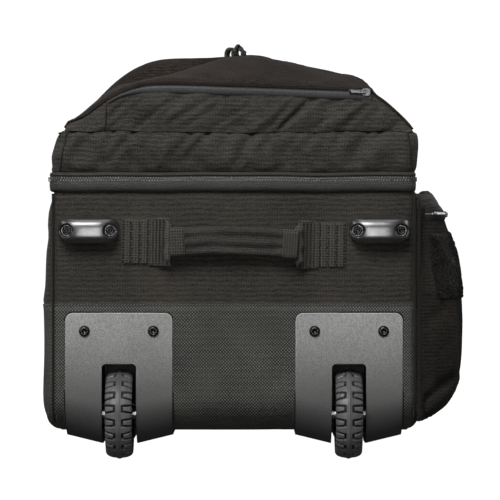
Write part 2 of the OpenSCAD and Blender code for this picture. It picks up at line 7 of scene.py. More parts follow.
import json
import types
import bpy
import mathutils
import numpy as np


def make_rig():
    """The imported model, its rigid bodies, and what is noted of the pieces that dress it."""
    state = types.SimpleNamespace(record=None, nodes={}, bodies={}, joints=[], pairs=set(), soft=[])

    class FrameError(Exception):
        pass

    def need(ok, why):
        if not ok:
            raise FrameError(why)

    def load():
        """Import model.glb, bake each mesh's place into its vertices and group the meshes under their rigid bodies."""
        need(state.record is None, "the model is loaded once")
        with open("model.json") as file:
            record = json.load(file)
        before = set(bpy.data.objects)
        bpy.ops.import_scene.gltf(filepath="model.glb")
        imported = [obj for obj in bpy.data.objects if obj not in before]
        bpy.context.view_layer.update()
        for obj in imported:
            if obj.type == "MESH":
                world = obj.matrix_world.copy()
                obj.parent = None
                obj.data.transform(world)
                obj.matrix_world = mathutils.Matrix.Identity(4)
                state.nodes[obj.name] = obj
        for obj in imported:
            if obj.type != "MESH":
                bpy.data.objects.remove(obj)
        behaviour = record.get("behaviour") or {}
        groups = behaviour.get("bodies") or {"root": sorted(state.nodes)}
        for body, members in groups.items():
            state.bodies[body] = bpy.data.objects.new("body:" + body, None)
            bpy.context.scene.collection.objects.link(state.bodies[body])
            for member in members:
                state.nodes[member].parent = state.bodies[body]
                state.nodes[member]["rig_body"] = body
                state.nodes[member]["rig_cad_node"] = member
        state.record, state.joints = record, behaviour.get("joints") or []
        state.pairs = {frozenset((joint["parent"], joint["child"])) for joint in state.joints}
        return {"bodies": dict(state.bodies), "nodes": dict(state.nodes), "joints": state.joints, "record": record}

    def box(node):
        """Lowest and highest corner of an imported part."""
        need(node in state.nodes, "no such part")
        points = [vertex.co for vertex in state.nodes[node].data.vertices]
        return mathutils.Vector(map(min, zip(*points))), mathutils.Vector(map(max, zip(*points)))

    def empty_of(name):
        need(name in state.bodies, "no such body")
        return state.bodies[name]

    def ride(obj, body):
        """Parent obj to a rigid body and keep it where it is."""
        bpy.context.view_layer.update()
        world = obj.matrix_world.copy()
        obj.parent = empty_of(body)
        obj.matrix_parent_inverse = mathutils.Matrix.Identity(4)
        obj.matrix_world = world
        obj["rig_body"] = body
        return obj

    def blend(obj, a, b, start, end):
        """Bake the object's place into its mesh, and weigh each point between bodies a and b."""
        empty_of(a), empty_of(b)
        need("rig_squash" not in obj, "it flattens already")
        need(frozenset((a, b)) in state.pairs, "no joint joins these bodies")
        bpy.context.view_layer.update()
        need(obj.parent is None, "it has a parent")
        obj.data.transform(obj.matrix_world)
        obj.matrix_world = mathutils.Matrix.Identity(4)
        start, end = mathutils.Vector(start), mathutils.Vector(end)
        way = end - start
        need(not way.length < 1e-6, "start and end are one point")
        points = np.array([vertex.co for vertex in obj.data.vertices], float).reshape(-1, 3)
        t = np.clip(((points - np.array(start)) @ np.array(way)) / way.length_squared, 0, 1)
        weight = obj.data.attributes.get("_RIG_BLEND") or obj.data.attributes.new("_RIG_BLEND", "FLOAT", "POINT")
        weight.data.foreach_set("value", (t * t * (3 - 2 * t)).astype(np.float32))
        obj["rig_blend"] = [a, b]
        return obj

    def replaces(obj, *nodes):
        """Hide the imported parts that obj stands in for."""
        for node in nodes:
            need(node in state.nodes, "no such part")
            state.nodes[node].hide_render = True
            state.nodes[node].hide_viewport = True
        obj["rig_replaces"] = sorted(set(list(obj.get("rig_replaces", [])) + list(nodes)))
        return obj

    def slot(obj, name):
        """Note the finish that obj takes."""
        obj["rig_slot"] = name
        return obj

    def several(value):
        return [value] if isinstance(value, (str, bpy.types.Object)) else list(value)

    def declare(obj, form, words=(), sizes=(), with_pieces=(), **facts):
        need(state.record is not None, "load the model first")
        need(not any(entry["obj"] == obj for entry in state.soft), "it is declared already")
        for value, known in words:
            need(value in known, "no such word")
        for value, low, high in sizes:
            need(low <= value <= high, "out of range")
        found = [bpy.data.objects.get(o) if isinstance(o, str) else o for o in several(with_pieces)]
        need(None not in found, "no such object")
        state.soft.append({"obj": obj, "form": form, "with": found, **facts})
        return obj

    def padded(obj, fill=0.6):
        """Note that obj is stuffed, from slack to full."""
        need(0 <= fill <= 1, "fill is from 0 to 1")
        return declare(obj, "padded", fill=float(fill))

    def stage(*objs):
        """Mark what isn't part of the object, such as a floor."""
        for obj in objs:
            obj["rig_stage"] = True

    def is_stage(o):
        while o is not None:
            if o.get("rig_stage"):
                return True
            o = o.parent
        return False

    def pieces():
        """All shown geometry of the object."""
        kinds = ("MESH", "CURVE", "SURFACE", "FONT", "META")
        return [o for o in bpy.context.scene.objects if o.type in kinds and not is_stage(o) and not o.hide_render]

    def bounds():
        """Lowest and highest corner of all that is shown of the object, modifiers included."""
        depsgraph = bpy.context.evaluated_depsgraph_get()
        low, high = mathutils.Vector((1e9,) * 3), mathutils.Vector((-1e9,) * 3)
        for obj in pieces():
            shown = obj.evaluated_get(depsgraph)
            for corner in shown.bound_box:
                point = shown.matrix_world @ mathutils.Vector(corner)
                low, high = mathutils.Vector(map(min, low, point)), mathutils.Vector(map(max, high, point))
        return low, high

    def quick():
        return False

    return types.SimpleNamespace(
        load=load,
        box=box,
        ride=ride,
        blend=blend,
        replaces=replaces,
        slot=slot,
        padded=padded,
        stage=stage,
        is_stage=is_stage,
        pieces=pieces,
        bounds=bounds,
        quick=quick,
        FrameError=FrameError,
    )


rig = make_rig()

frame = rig.load()
cad_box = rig.bounds()

import json
import math
import random

import bpy
import numpy as np
from mathutils import Matrix, Vector, kdtree, noise

MM = 0.001
base_low, base_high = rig.box("base_panel")
ORIGIN = Vector(((base_low.x + base_high.x) / 2, base_low.y, base_low.z - 22 * MM))


def place(point):
    return ORIGIN + Vector(point) * MM


def span(node):
    """Lowest and highest corner of a CAD node in the case's own millimetres."""
    low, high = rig.box(node)
    return (low - ORIGIN) / MM, (high - ORIGIN) / MM


HALF_W = span("base_panel")[1].x
LENGTH = span("back_panel")[1].y
BACK_Z = span("back_panel")[0].z
ZIP_Z = span("main_zip_lower")[1].z
LID_Z = span("lid_gusset")[0].z
LID_TOP = span("lid_panel")[1].z
WHEEL_X = (span("tyre_right")[0].x + span("tyre_right")[1].x) / 2
WHEEL_R = (span("tyre_right")[1].z - span("tyre_right")[0].z) / 2
WHEEL_Z = (span("tyre_right")[1].z + span("tyre_right")[0].z) / 2
WHEEL_Y = (span("tyre_right")[0].y + span("tyre_right")[1].y) / 2
PLATE_HALF = (span("wheel_housing_right")[1].x - span("wheel_housing_right")[0].x) / 2
PLATE_TOP = span("wheel_housing_right")[1].z
HOUSING_END = span("wheel_housing_right")[1].y
WEAVE_CHANGE = PLATE_TOP + 7
PLATE_CORNER = 7.0
EDGE_R = 35.0
SIDE_POCKET = span("side_pocket")


# ---------------------------------------------------------------- camera and studio

EYE_X, EYE_Z = 14.9, 192.5
EYE_DISTANCE = 3000
FRAME_WIDTH = 465


def make_camera():
    data = bpy.data.cameras.new("camera")
    data.sensor_width = 36
    data.lens = 36 * EYE_DISTANCE / FRAME_WIDTH
    data.clip_end = 60
    camera = bpy.data.objects.new("camera", data)
    camera.location = place((EYE_X, -EYE_DISTANCE, EYE_Z))
    camera.rotation_euler = (math.pi / 2, 0, 0)
    bpy.context.scene.collection.objects.link(camera)
    bpy.context.scene.camera = camera


make_camera()


# ---------------------------------------------------------------- materials


class Shader:
    """Builds one material; a socket or a number can stand wherever a value is asked for."""

    def __init__(self, color, roughness, metallic=0.0, **sockets):
        self.material = bpy.data.materials.new("look")
        self.material.use_nodes = True
        self.tree = self.material.node_tree
        self.bsdf = self.tree.nodes["Principled BSDF"]
        self.set(self.bsdf, "Base Color", color)
        self.set(self.bsdf, "Roughness", roughness)
        self.bsdf.inputs["Metallic"].default_value = metallic
        for socket, value in sockets.items():
            self.bsdf.inputs[socket.replace("_", " ")].default_value = value

    def set(self, node, socket, value):
        target = node.inputs[socket]
        if isinstance(value, bpy.types.NodeSocket):
            self.tree.links.new(value, target)
        elif isinstance(value, tuple) and len(value) == 3 and target.type == "RGBA":
            target.default_value = (*value, 1)
        else:
            target.default_value = value

    def node(self, kind, output, inputs, **settings):
        made = self.tree.nodes.new("ShaderNode" + kind)
        for key, value in settings.items():
            setattr(made, key, value)
        for socket, value in inputs.items():
            self.set(made, socket, value)
        return made.outputs[output]

    def math(self, operation, a, b=0.0, c=0.0):
        return self.node("Math", 0, {0: a, 1: b, 2: c}, operation=operation)

    def weave(self):
        """The cloth's own coordinates in millimetres, along and across."""
        vector = self.node("Attribute", "Vector", {}, attribute_name="weave")
        split = self.tree.nodes.new("ShaderNodeSeparateXYZ")
        self.tree.links.new(vector, split.inputs[0])
        return vector, split.outputs[0], split.outputs[1]

    def place(self):
        return self.node("TexCoord", "Object", {})

    def noise(self, vector, scale, detail=2.0, gain=2.4, stretch=None):
        """Noise round 0.5, made stronger by gain. stretch scales the coordinates on each axis first."""
        if stretch:
            vector = self.node("Mapping", "Vector", {"Vector": vector, "Scale": stretch})
        inputs = {"Vector": vector, "Scale": scale, "Detail": detail, "Roughness": 0.55}
        raw = self.node("TexNoise", "Fac", inputs)
        return self.math("MULTIPLY_ADD", raw, gain, 0.5 - gain / 2)

    def mixture(self, *parts):
        """0.5 plus each value's swing from 0.5 times its weight."""
        total = 0.5 - sum(weight for _, weight in parts) / 2
        for value, weight in parts:
            total = self.math("MULTIPLY_ADD", value, weight, total)
        return total

    def sine(self, value, pitch):
        """A wave of that pitch, from 0 to 1."""
        turned = self.math("MULTIPLY", value, 2 * math.pi / pitch)
        return self.math("MULTIPLY_ADD", self.math("SINE", turned), 0.5, 0.5)

    def between(self, value, low, high):
        """A value from 0 to 1 spread over low to high."""
        return self.node("MapRange", "Result", {"Value": value, "To Min": low, "To Max": high})

    def ramp(self, value, start, end, kind="LINEAR"):
        """0 before start and 1 after end."""
        inputs = {"Value": value, "From Min": start, "From Max": end}
        return self.node("MapRange", "Result", inputs, interpolation_type=kind)

    def blend(self, factor, a, b):
        made = self.tree.nodes.new("ShaderNodeMix")
        made.data_type = "RGBA"
        self.set(made, 0, factor)
        self.set(made, 6, a)
        self.set(made, 7, b)
        return made.outputs[2]

    def bump(self, height, depth_mm, strength=1.0, normal=None):
        inputs = {"Height": height, "Distance": depth_mm * MM, "Strength": strength}
        if normal:
            inputs["Normal"] = normal
        return self.node("Bump", "Normal", inputs)

    def finish(self, normal):
        self.set(self.bsdf, "Normal", normal)
        return self.material


def shade(color, factor):
    return tuple(channel * factor for channel in color)


def cloth(color, pattern, contrast, depth, roughness=0.75, sheen=0.1, specular=0.3):
    """Woven cloth. pattern(shader, vector, along, across) gives its (value, weight) parts in relief. The relief is
    painted into the colour too: painted light on the raised threads, painted shade in the hollows.
    """
    s = Shader(color, roughness, Sheen_Weight=sheen, Sheen_Roughness=0.5, Specular_IOR_Level=specular)
    vector, along, across = s.weave()
    height = s.mixture(*pattern(s, vector, along, across))
    # Painted light and shade: the colour follows the relief, lighter on raised threads and darker in the hollows, with
    # real mottling on top.
    tone = s.mixture((height, 1.0), (s.noise(vector, 0.016, 3.0), 0.35))
    dark, painted_crown_light = shade(color, max(1 - contrast, 0.1)), shade(color, 1 + contrast)
    s.set(s.bsdf, "Base Color", s.blend(tone, dark, painted_crown_light))
    s.set(s.bsdf, "Roughness", s.between(height, roughness + 0.1, roughness - 0.08))
    return s.finish(s.bump(height, depth))


def ribbed(rib):
    """Low ribs along the cloth, broken up by threads that cross them."""
    def pattern(s, vector, along, across):
        drift = s.noise(vector, 0.03)
        ribs = s.sine(s.math("MULTIPLY_ADD", drift, 2.4, across), rib)
        columns = s.sine(s.math("MULTIPLY_ADD", drift, 1.5, along), 2.4)
        dashes = s.noise(vector, 1.0, 2.0, 3.0, (0.13, 0.55, 1))
        return (ribs, 0.28), (columns, 0.14), (dashes, 0.3), (s.noise(vector, 0.75), 0.65)
    return pattern


def basket(cell):
    """A coarse basket weave whose crowns take a painted highlight, in faint rows."""
    def pattern(s, vector, along, across):
        drift = s.noise(vector, 0.03)
        crowns = s.math("ABSOLUTE", s.math("SUBTRACT", s.sine(along, cell), s.sine(across, 1.06 * cell)))
        rows = s.sine(s.math("MULTIPLY_ADD", drift, 2.5, across), 6.1)
        return (crowns, 1.3), (rows, 0.12), (s.noise(vector, 0.5), 0.2), (drift, 0.1)
    return pattern


def corded(cord, pick):
    """Woven tape: raised cords along its length, crossed by fine picks."""
    def pattern(s, vector, along, across):
        cords = s.sine(across, cord)
        picks = s.sine(s.math("MULTIPLY_ADD", cords, 0.6, along), pick)
        return (cords, 0.35), (picks, 0.45), (s.noise(vector, 0.7), 0.5)
    return pattern


def plain(thread):
    """Fine plain-woven cloth."""
    def pattern(s, vector, along, across):
        threads = s.math("MULTIPLY", s.sine(along, thread), s.sine(across, thread))
        return (threads, 0.4), (s.noise(vector, 0.45), 0.45)
    return pattern


def pile(s, vector, along, across):
    """Looped pile: tufts with painted shade between them and a painted highlight on their tips."""
    tufts = s.node("TexVoronoi", "Distance", {"Vector": vector, "Scale": 0.5})
    return (tufts, -0.7), (s.noise(vector, 0.6, 4.0, 3.5), 0.9)


def moulded_plastic(color, roughness, grain=0.05, streak=0.10, edge=0.6, shine=0.5, with_painted_light=False, coat=0.0):
    """Moulded plastic with a fine grain, handling marks and softened edges.

    A piece with painted light takes painted shade near the floor and inside its wheel well, and a painted highlight
    along its edges.
    """
    s = Shader(color, roughness, Specular_IOR_Level=shine, Coat_Weight=coat, Coat_Roughness=0.3, Coat_IOR=1.8)
    spot = s.place()
    pores = s.noise(spot, 900.0)
    scuffs = s.noise(spot, 6.0, 5.0, 2.6, (60, 60, 30))
    cloud = s.noise(spot, 16.0)
    mottle = s.mixture((scuffs, 0.4), (cloud, 0.4), (pores, 1.2))
    tone = s.blend(mottle, shade(color, 1 - streak), shade(color, 1 + streak))
    if with_painted_light:
        split = s.tree.nodes.new("ShaderNodeSeparateXYZ")
        s.tree.links.new(spot, split.inputs[0])
        height, depth = split.outputs[2], split.outputs[1]
        # Painted shade: darker towards the floor.
        clear_of_floor_shade = s.ramp(height, 0.035, 0.150, "SMOOTHSTEP")
        tone = s.blend(clear_of_floor_shade, shade(color, 0.2), tone)
        # Painted shade inside the wheel well.
        inside = s.ramp(depth, ORIGIN.y, ORIGIN.y + 0.004)
        well_painted_shade = s.math("MULTIPLY", inside, s.ramp(height, 0.045, 0.055))
        tone = s.blend(well_painted_shade, tone, shade(color, 0.02))
    soft = s.node("Bevel", "Normal", {"Radius": edge * MM}, samples=4)
    if with_painted_light:
        flat = s.node("NewGeometry", "Normal", {})
        turn = s.node("VectorMath", "Value", {0: soft, 1: flat}, operation="DOT_PRODUCT")
        # Painted highlight on the bevelled edges, fading towards the floor with the painted shade.
        wear_and_painted_light = s.math("MULTIPLY", s.ramp(turn, 0.99, 0.88), s.math("MULTIPLY", clear_of_floor_shade, 0.8))
        tone = s.blend(wear_and_painted_light, tone, shade(color, 2.0))
    s.set(s.bsdf, "Base Color", tone)
    s.set(s.bsdf, "Roughness", s.between(scuffs, roughness - 0.05, roughness + 0.07))
    return s.finish(s.bump(pores, grain, 1.0, soft))


def metal(color, roughness):
    """Bare or coated metal with faint brushing and handling marks."""
    s = Shader(color, roughness, 1.0)
    spot = s.place()
    lines = s.noise(spot, 1.0, 3.0, 2.4, (500, 25, 500))
    s.set(s.bsdf, "Base Color", s.blend(s.noise(spot, 90.0), shade(color, 0.85), shade(color, 1.15)))
    s.set(s.bsdf, "Roughness", s.between(lines, roughness - 0.04, roughness + 0.08))
    soft = s.node("Bevel", "Normal", {"Radius": 0.25 * MM}, samples=4)
    return s.finish(s.bump(lines, 0.004, 0.4, soft))


def rubber(color, roughness, grooved=False):
    """Rubber with a dusty bloom. A grooved piece stores each point's groove depth, and is darker there: partly dust,
    partly painted shade.
    """
    s = Shader(color, roughness, Specular_IOR_Level=0.45)
    spot = s.place()
    dust = s.noise(spot, 60.0, 4.0)
    wear_and_painted_light = s.blend(dust, shade(color, 0.75), shade(color, 1.25))
    if grooved:
        # Partly dust, partly painted shade in the tread's grooves.
        _, depth, _ = s.weave()
        wear_and_painted_light = s.blend(depth, wear_and_painted_light, shade(color, 0.04))
    s.set(s.bsdf, "Base Color", wear_and_painted_light)
    s.set(s.bsdf, "Roughness", s.between(dust, roughness - 0.08, roughness + 0.12))
    return s.finish(s.bump(s.noise(spot, 700.0), 0.1))


MATERIALS = {
    "ribbed_nylon": cloth((0.032, 0.0285, 0.0232), ribbed(4.7), 0.85, 0.35),
    "lid_nylon": cloth((0.036, 0.0325, 0.027), ribbed(4.2), 0.85, 0.35),
    "pocket_nylon": cloth((0.027, 0.0218, 0.0187), ribbed(3.2), 0.9, 0.3, 0.9, 0.02, 0.1),
    "dark_nylon": cloth((0.016, 0.0143, 0.0115), ribbed(3.3), 0.95, 0.35, 0.85, 0.04, 0.2),
    "ballistic_nylon": cloth((0.034, 0.034, 0.030), basket(2.9), 3.0, 0.35, 0.5, 0.05, 0.45),
    "webbing": cloth((0.040, 0.038, 0.032), corded(2.7, 2.4), 1.3, 0.45),
    "grip_cloth": cloth((0.031, 0.030, 0.026), ribbed(3.0), 0.9, 0.4),
    "zip_tape": cloth((0.046, 0.046, 0.041), ribbed(2.2), 0.5, 0.15, 0.6),
    "dark_tape": cloth((0.031, 0.030, 0.027), ribbed(2.2), 0.6, 0.15, 0.65),
    "smooth_tape": cloth((0.050, 0.050, 0.052), plain(1.6), 0.5, 0.1, 0.5),
    "zip_teeth": moulded_plastic((0.11, 0.11, 0.104), 0.22, 0.0, edge=0.2, shine=0.8),
    "piping": cloth((0.009, 0.008, 0.007), plain(1.2), 0.5, 0.1),
    # Light piping along the lower pocket's crest: a painted highlight.
    "crest_piping": cloth((0.085, 0.073, 0.062), plain(1.2), 0.6, 0.15),
    "thread": cloth((0.005, 0.0045, 0.004), plain(0.8), 0.4, 0.1),
    "loop_pile": cloth((0.0095, 0.0086, 0.0072), pile, 0.95, 0.9, 0.95, 0.1, 0.1),
    "lining": cloth((0.10, 0.102, 0.108), plain(1.3), 0.3, 0.15, 0.65),
    # The housings' plastic takes painted shade near the floor and in the wheel wells, and a painted highlight on its
    # edges.
    "housing_plastic": moulded_plastic((0.35, 0.351, 0.344), 0.58, 0.2, 0.32, 1.8, 0.5, True),
    "foot_plastic": moulded_plastic((0.016, 0.016, 0.015), 0.31, 0.0, 0.3, 0.8, 1.0, coat=1.0),
    "rail_plastic": moulded_plastic((0.018, 0.018, 0.018), 0.42),
    "board_plastic": moulded_plastic((0.018, 0.018, 0.018), 0.5),
    "hub_plastic": moulded_plastic((0.018, 0.018, 0.018), 0.45),
    "button_plastic": moulded_plastic((0.08, 0.08, 0.08), 0.4),
    "tyre_rubber": rubber((0.115, 0.117, 0.115), 0.32, True),
    "grip_rubber": rubber((0.018, 0.018, 0.018), 0.5),
    "steel": metal((0.60, 0.60, 0.60), 0.36),
    "black_screw": metal((0.05, 0.05, 0.05), 0.24),
    "slider_metal": metal((0.13, 0.13, 0.13), 0.3),
    "tube_aluminium": metal((0.62, 0.63, 0.64), 0.3),
}
for material_name, made in MATERIALS.items():
    made.name = material_name


# ---------------------------------------------------------------- mesh tools


def lay_weave(obj):
    """Stores the cloth's own coordinates in millimetres on every face corner, flat on each face's side."""
    mesh = obj.data
    if "weave" in mesh.attributes:
        return
    corners, faces = len(mesh.loops), len(mesh.polygons)
    points = np.empty(len(mesh.vertices) * 3)
    mesh.vertices.foreach_get("co", points)
    vertex = np.empty(corners, np.int32)
    mesh.loops.foreach_get("vertex_index", vertex)
    normals = np.empty(faces * 3)
    mesh.polygons.foreach_get("normal", normals)
    totals = np.empty(faces, np.int32)
    mesh.polygons.foreach_get("loop_total", totals)
    main = np.repeat(np.abs(normals.reshape(-1, 3)).argmax(1), totals)
    at_corner = points.reshape(-1, 3)[vertex] / MM
    along = np.where(main == 0, at_corner[:, 1], at_corner[:, 0])
    across = np.where(main == 2, at_corner[:, 1], at_corner[:, 2])
    attribute = mesh.attributes.new("weave", "FLOAT_VECTOR", "CORNER")
    laid = np.stack([along, across, np.zeros(corners)], 1)
    attribute.data.foreach_set("vector", laid.ravel().astype(np.float32))


RECORD_SLOTS = {material["slot"] for material in frame["record"]["materials"]}


def piece(name, verts, faces, material, body, slot=None, cloth=None, smooth=True, put=place):
    """A mesh piece in the case's millimetres, riding on a body. cloth lists its points' own places."""
    mesh = bpy.data.meshes.new(name)
    mesh.from_pydata([put(v) for v in verts], [], faces)
    mesh.polygons.foreach_set("use_smooth", [smooth] * len(mesh.polygons))
    names = [material] if isinstance(material, str) else material
    for key in names:
        mesh.materials.append(MATERIALS[key])
    obj = bpy.data.objects.new(name, mesh)
    bpy.context.scene.collection.objects.link(obj)
    if cloth:
        attribute = mesh.attributes.new("weave", "FLOAT_VECTOR", "POINT")
        attribute.data.foreach_set("vector", [value for point in cloth for value in (*point, 0)])
    else:
        lay_weave(obj)
    if body:
        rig.ride(obj, body)
    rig.slot(obj, slot or (names[0] if names[0] in RECORD_SLOTS else "ribbed_nylon"))
    return obj


def grid_faces(rows, columns, wrap_rows=False, wrap_columns=False, start=0):
    """Faces of a grid whose vertices are listed row by row."""
    faces = []
    for i in range(rows if wrap_rows else rows - 1):
        for j in range(columns if wrap_columns else columns - 1):
            a, b = start + i * columns, start + (i + 1) % rows * columns
            c, d = j, (j + 1) % columns
            faces.append((a + c, a + d, b + d, b + c))
    return faces


def turned(faces):
    """The same faces, seen from their other side."""
    return [tuple(reversed(face)) for face in faces]


def middle_of(face, verts):
    return [sum(verts[k][i] for k in face) / len(face) for i in range(3)]


def spread(low, high, count):
    return [low + (high - low) * i / (count - 1) for i in range(count)]


def curve(points):
    """A smooth function through a few (x, y) points, level beyond its ends."""
    xs = [p[0] for p in points]
    ys = [p[1] for p in points]
    slopes = []
    for i in range(len(points)):
        a, b = max(i - 1, 0), min(i + 1, len(points) - 1)
        slopes.append((ys[b] - ys[a]) / (xs[b] - xs[a]))

    def value(x):
        if x <= xs[0]:
            return ys[0]
        if x >= xs[-1]:
            return ys[-1]
        i = next(k for k in range(len(xs) - 1) if x <= xs[k + 1])
        width = xs[i + 1] - xs[i]
        t = (x - xs[i]) / width
        rise, left, right = ys[i + 1] - ys[i], slopes[i] * width, slopes[i + 1] * width
        return ys[i] + t * (left + t * (3 * rise - 2 * left - right + t * (left + right - 2 * rise)))

    return value


def ease(t):
    t = min(max(t, 0.0), 1.0)
    return t * t * (3 - 2 * t)


def fold(x, y, z, size, seed=0.0):
    """Smooth noise from -1 to 1 that varies over that many millimetres."""
    return noise.noise(Vector((x / size + seed, y / size - seed, z / size + 2 * seed)))


def crumple(x, y, z, seed):
    """Soft cloth relief: broad swells with smaller dents on them."""
    dents = 0.3 * fold(x, y, z, 28, seed + 7) + 0.12 * fold(x, y, z, 11, seed + 3)
    return 0.65 * fold(x, y, z, 75, seed) + dents


def sweep(name, path, ring, material, body, closed=False, up=(0, 0, 1), slot=None, put=place):
    """A section, listed as (sideways, upwards) points, carried along a path of points."""
    path = [Vector(p) for p in path]
    verts, cloth, travelled = [], [], 0.0
    count = len(path)
    for i, point in enumerate(path):
        before = path[i - 1] if i or closed else path[i]
        after = path[(i + 1) % count] if i < count - 1 or closed else path[i]
        ahead = (after - before).normalized()
        side = ahead.cross(Vector(up)).normalized()
        top = side.cross(ahead).normalized()
        if i:
            travelled += (point - path[i - 1]).length
        around = 0.0
        for k, (a, b) in enumerate(ring):
            if k:
                around += math.dist(ring[k], ring[k - 1])
            verts.append(point + side * a + top * b)
            cloth.append((travelled, around))
    faces = grid_faces(count, len(ring), wrap_rows=closed, wrap_columns=True)
    if not closed:
        faces.append(tuple(reversed(range(len(ring)))))
        faces.append(tuple(range((count - 1) * len(ring), count * len(ring))))
    return piece(name, verts, faces, material, body, slot, cloth, put=put)


def circle_ring(radius, count=8):
    return [(radius * math.cos(2 * math.pi * k / count), radius * math.sin(2 * math.pi * k / count))
            for k in range(count)]


def rounded_ring(width, height, radius, steps=4):
    """A rectangle with round corners, anticlockwise."""
    ring = []
    for quarter, (sx, sy) in enumerate([(1, 1), (-1, 1), (-1, -1), (1, -1)]):
        for k in range(steps + 1):
            angle = math.pi / 2 * (quarter + k / steps)
            ring.append((sx * (width / 2 - radius) + radius * math.cos(angle),
                         sy * (height / 2 - radius) + radius * math.sin(angle)))
    return ring


def sheet(name, rows, columns, point, material, body, flip=False, **more):
    """A piece whose points are point(row, column), over the given rows and columns."""
    verts = [point(row, column) for row in rows for column in columns]
    faces = grid_faces(len(rows), len(columns))
    return piece(name, verts, turned(faces) if flip else faces, material, body, **more)


def many(name, places, shape, material, body, slot=None, smooth=False, put=place):
    """Copies of a small (verts, faces) shape joined in one piece. Each place is (point, along, out)."""
    verts, faces = [], []
    for point, along, out in places:
        x = Vector(along).normalized()
        z = Vector(out).normalized()
        y = z.cross(x).normalized()
        start = len(verts)
        verts += [Vector(point) + x * a + y * b + z * c for a, b, c in shape[0]]
        faces += [tuple(start + k for k in face) for face in shape[1]]
    return piece(name, verts, faces, material, body, slot, smooth=smooth, put=put)


def brick(length, width, height, top):
    """A small block whose upper face is smaller by the factor top."""
    x, y = length / 2, width / 2
    verts = [(-x, -y, 0), (x, -y, 0), (x, y, 0), (-x, y, 0)]
    verts += [(a * top, b * top, height) for a, b, _ in verts]
    faces = [(3, 2, 1, 0), (4, 5, 6, 7), (0, 1, 5, 4), (1, 2, 6, 5), (2, 3, 7, 6), (3, 0, 4, 7)]
    return verts, faces


STITCH = brick(2.2, 1.5, 0.5, 0.8)


def along_path(path, pitch):
    """(point, direction) at every pitch along a path."""
    path = [Vector(p) for p in path]
    places, rest = [], pitch / 2
    for a, b in zip(path, path[1:]):
        length = (b - a).length
        while rest < length:
            places.append((a.lerp(b, rest / length), (b - a).normalized()))
            rest += pitch
        rest -= length
    return places


def stitches(name, paths, out, body, pitch, put):
    places = [(p, d, out) for path in paths for p, d in along_path(path, pitch)]
    return many(name, places, STITCH, "thread", body, "webbing", put=put)


# ---------------------------------------------------------------- settling cloth


FABRIC_STIFFNESS = 12.0
SETTLING_FRAMES = 18


def settle(obj, pinned, pressure, slack, cap):
    """Lets a cloth piece puff and crease between its sewn points, and keeps every point within cap mm.

    Returns a function that tells how far the cloth moved near any place, in metres.
    """
    before = [v.co.copy() for v in obj.data.vertices]
    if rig.quick():
        return lambda spot: Vector()
    group = obj.vertex_groups.new(name="sewn")
    group.add(pinned, 1.0, "REPLACE")
    modifier = obj.modifiers.new("cloth", "CLOTH")
    fabric = modifier.settings
    fabric.quality, fabric.mass, fabric.air_damping = 6, 0.2, 2.0
    fabric.tension_stiffness = fabric.compression_stiffness = FABRIC_STIFFNESS
    fabric.shear_stiffness, fabric.bending_stiffness = FABRIC_STIFFNESS / 3, 0.25
    fabric.tension_damping = fabric.compression_damping = fabric.shear_damping = 12
    fabric.use_pressure, fabric.uniform_pressure_force = True, pressure
    fabric.shrink_min = fabric.shrink_max = -slack
    fabric.vertex_group_mass = group.name
    fabric.effector_weights.gravity = 0
    modifier.collision_settings.use_collision = False
    modifier.point_cache.frame_end = SETTLING_FRAMES
    scene = bpy.context.scene
    for frame_number in range(1, SETTLING_FRAMES + 1):
        scene.frame_set(frame_number)
    settled = obj.evaluated_get(bpy.context.evaluated_depsgraph_get())
    after = [v.co.copy() for v in settled.data.vertices]
    obj.modifiers.remove(modifier)
    obj.vertex_groups.remove(group)
    scene.frame_set(1)
    tree = kdtree.KDTree(len(before))
    moves = []
    for i, (old, new) in enumerate(zip(before, after)):
        move = new - old
        if move.length > cap * MM:
            move *= cap * MM / move.length
        moves.append(move)
        obj.data.vertices[i].co = old + move
        tree.insert(old, i)
    tree.balance()

    def shift(spot):
        near = tree.find_n(spot, 3)
        weights = [1 / (d + 1e-5) for _, _, d in near]
        return sum((moves[i] * w for (_, i, _), w in zip(near, weights)), Vector()) / sum(weights)

    return shift


def moved(shift):
    """place() for what is sewn to a settled cloth, and so moves with the cloth near it."""
    return lambda point: place(point) + shift(place(point))


def border(rows, columns, rings=1, extra=()):
    """Indices of a grid's outer rows and columns."""
    return [i * columns + j for i in range(rows) for j in range(columns)
            if min(i, rows - 1 - i, j, columns - 1 - j) < rings or i in extra]


# ---------------------------------------------------------------- the tub


def rectangle_path(half_w, length, radius, step, y_start=0.0):
    """Points and outward normals round the tub, anticlockwise from above, from its far left corner."""
    arc_steps = 5
    corners = [(-half_w, length, 90), (-half_w, y_start, 180), (half_w, y_start, 270), (half_w, length, 0)]
    stops = []
    for x, y, first in corners:
        cx = x - math.copysign(radius, x)
        cy = y - radius if y > y_start else y + radius
        for k in range(arc_steps + 1):
            angle = math.radians(first + 90 * k / arc_steps)
            n = (math.cos(angle), math.sin(angle))
            stops.append(((cx + radius * n[0], cy + radius * n[1]), n))
    path = []
    for i, (p, n) in enumerate(stops):
        q = stops[(i + 1) % len(stops)][0]
        path.append((p, n))
        gap = math.dist(p, q)
        if gap > step * 1.5:
            parts = round(gap / step)
            path += [((p[0] + (q[0] - p[0]) * k / parts, p[1] + (q[1] - p[1]) * k / parts), n)
                     for k in range(1, parts)]
    return path


# How far the tub's left side stands out near the base, over its height
LEFT_SWELL = curve([(30, 4), (36, 5), (44, 7), (58, 8), (94, 7), (116, 7), (138, 7.6), (147, 8.6), (157, 7),
                    (190, 5.6), (205, 3.6), (216, 4.2), (232, 2.6), (238, -0.5), (243, -4)])
GRIP_MIDDLE = {kind: sum(span(f"{kind}_carry_grip"), Vector()) / 2 for kind in ("base", "top", "side")}


def handle_flat(kind, along, z):
    """1 over the cloth that a carry handle lies against, and 0 away from it."""
    middle = GRIP_MIDDLE[kind]
    away = abs(along - (middle.y if kind == "side" else middle.x))
    return (1 - ease((away - 85) / 30)) * (1 - ease((abs(z - middle.z) - 55) / 20))


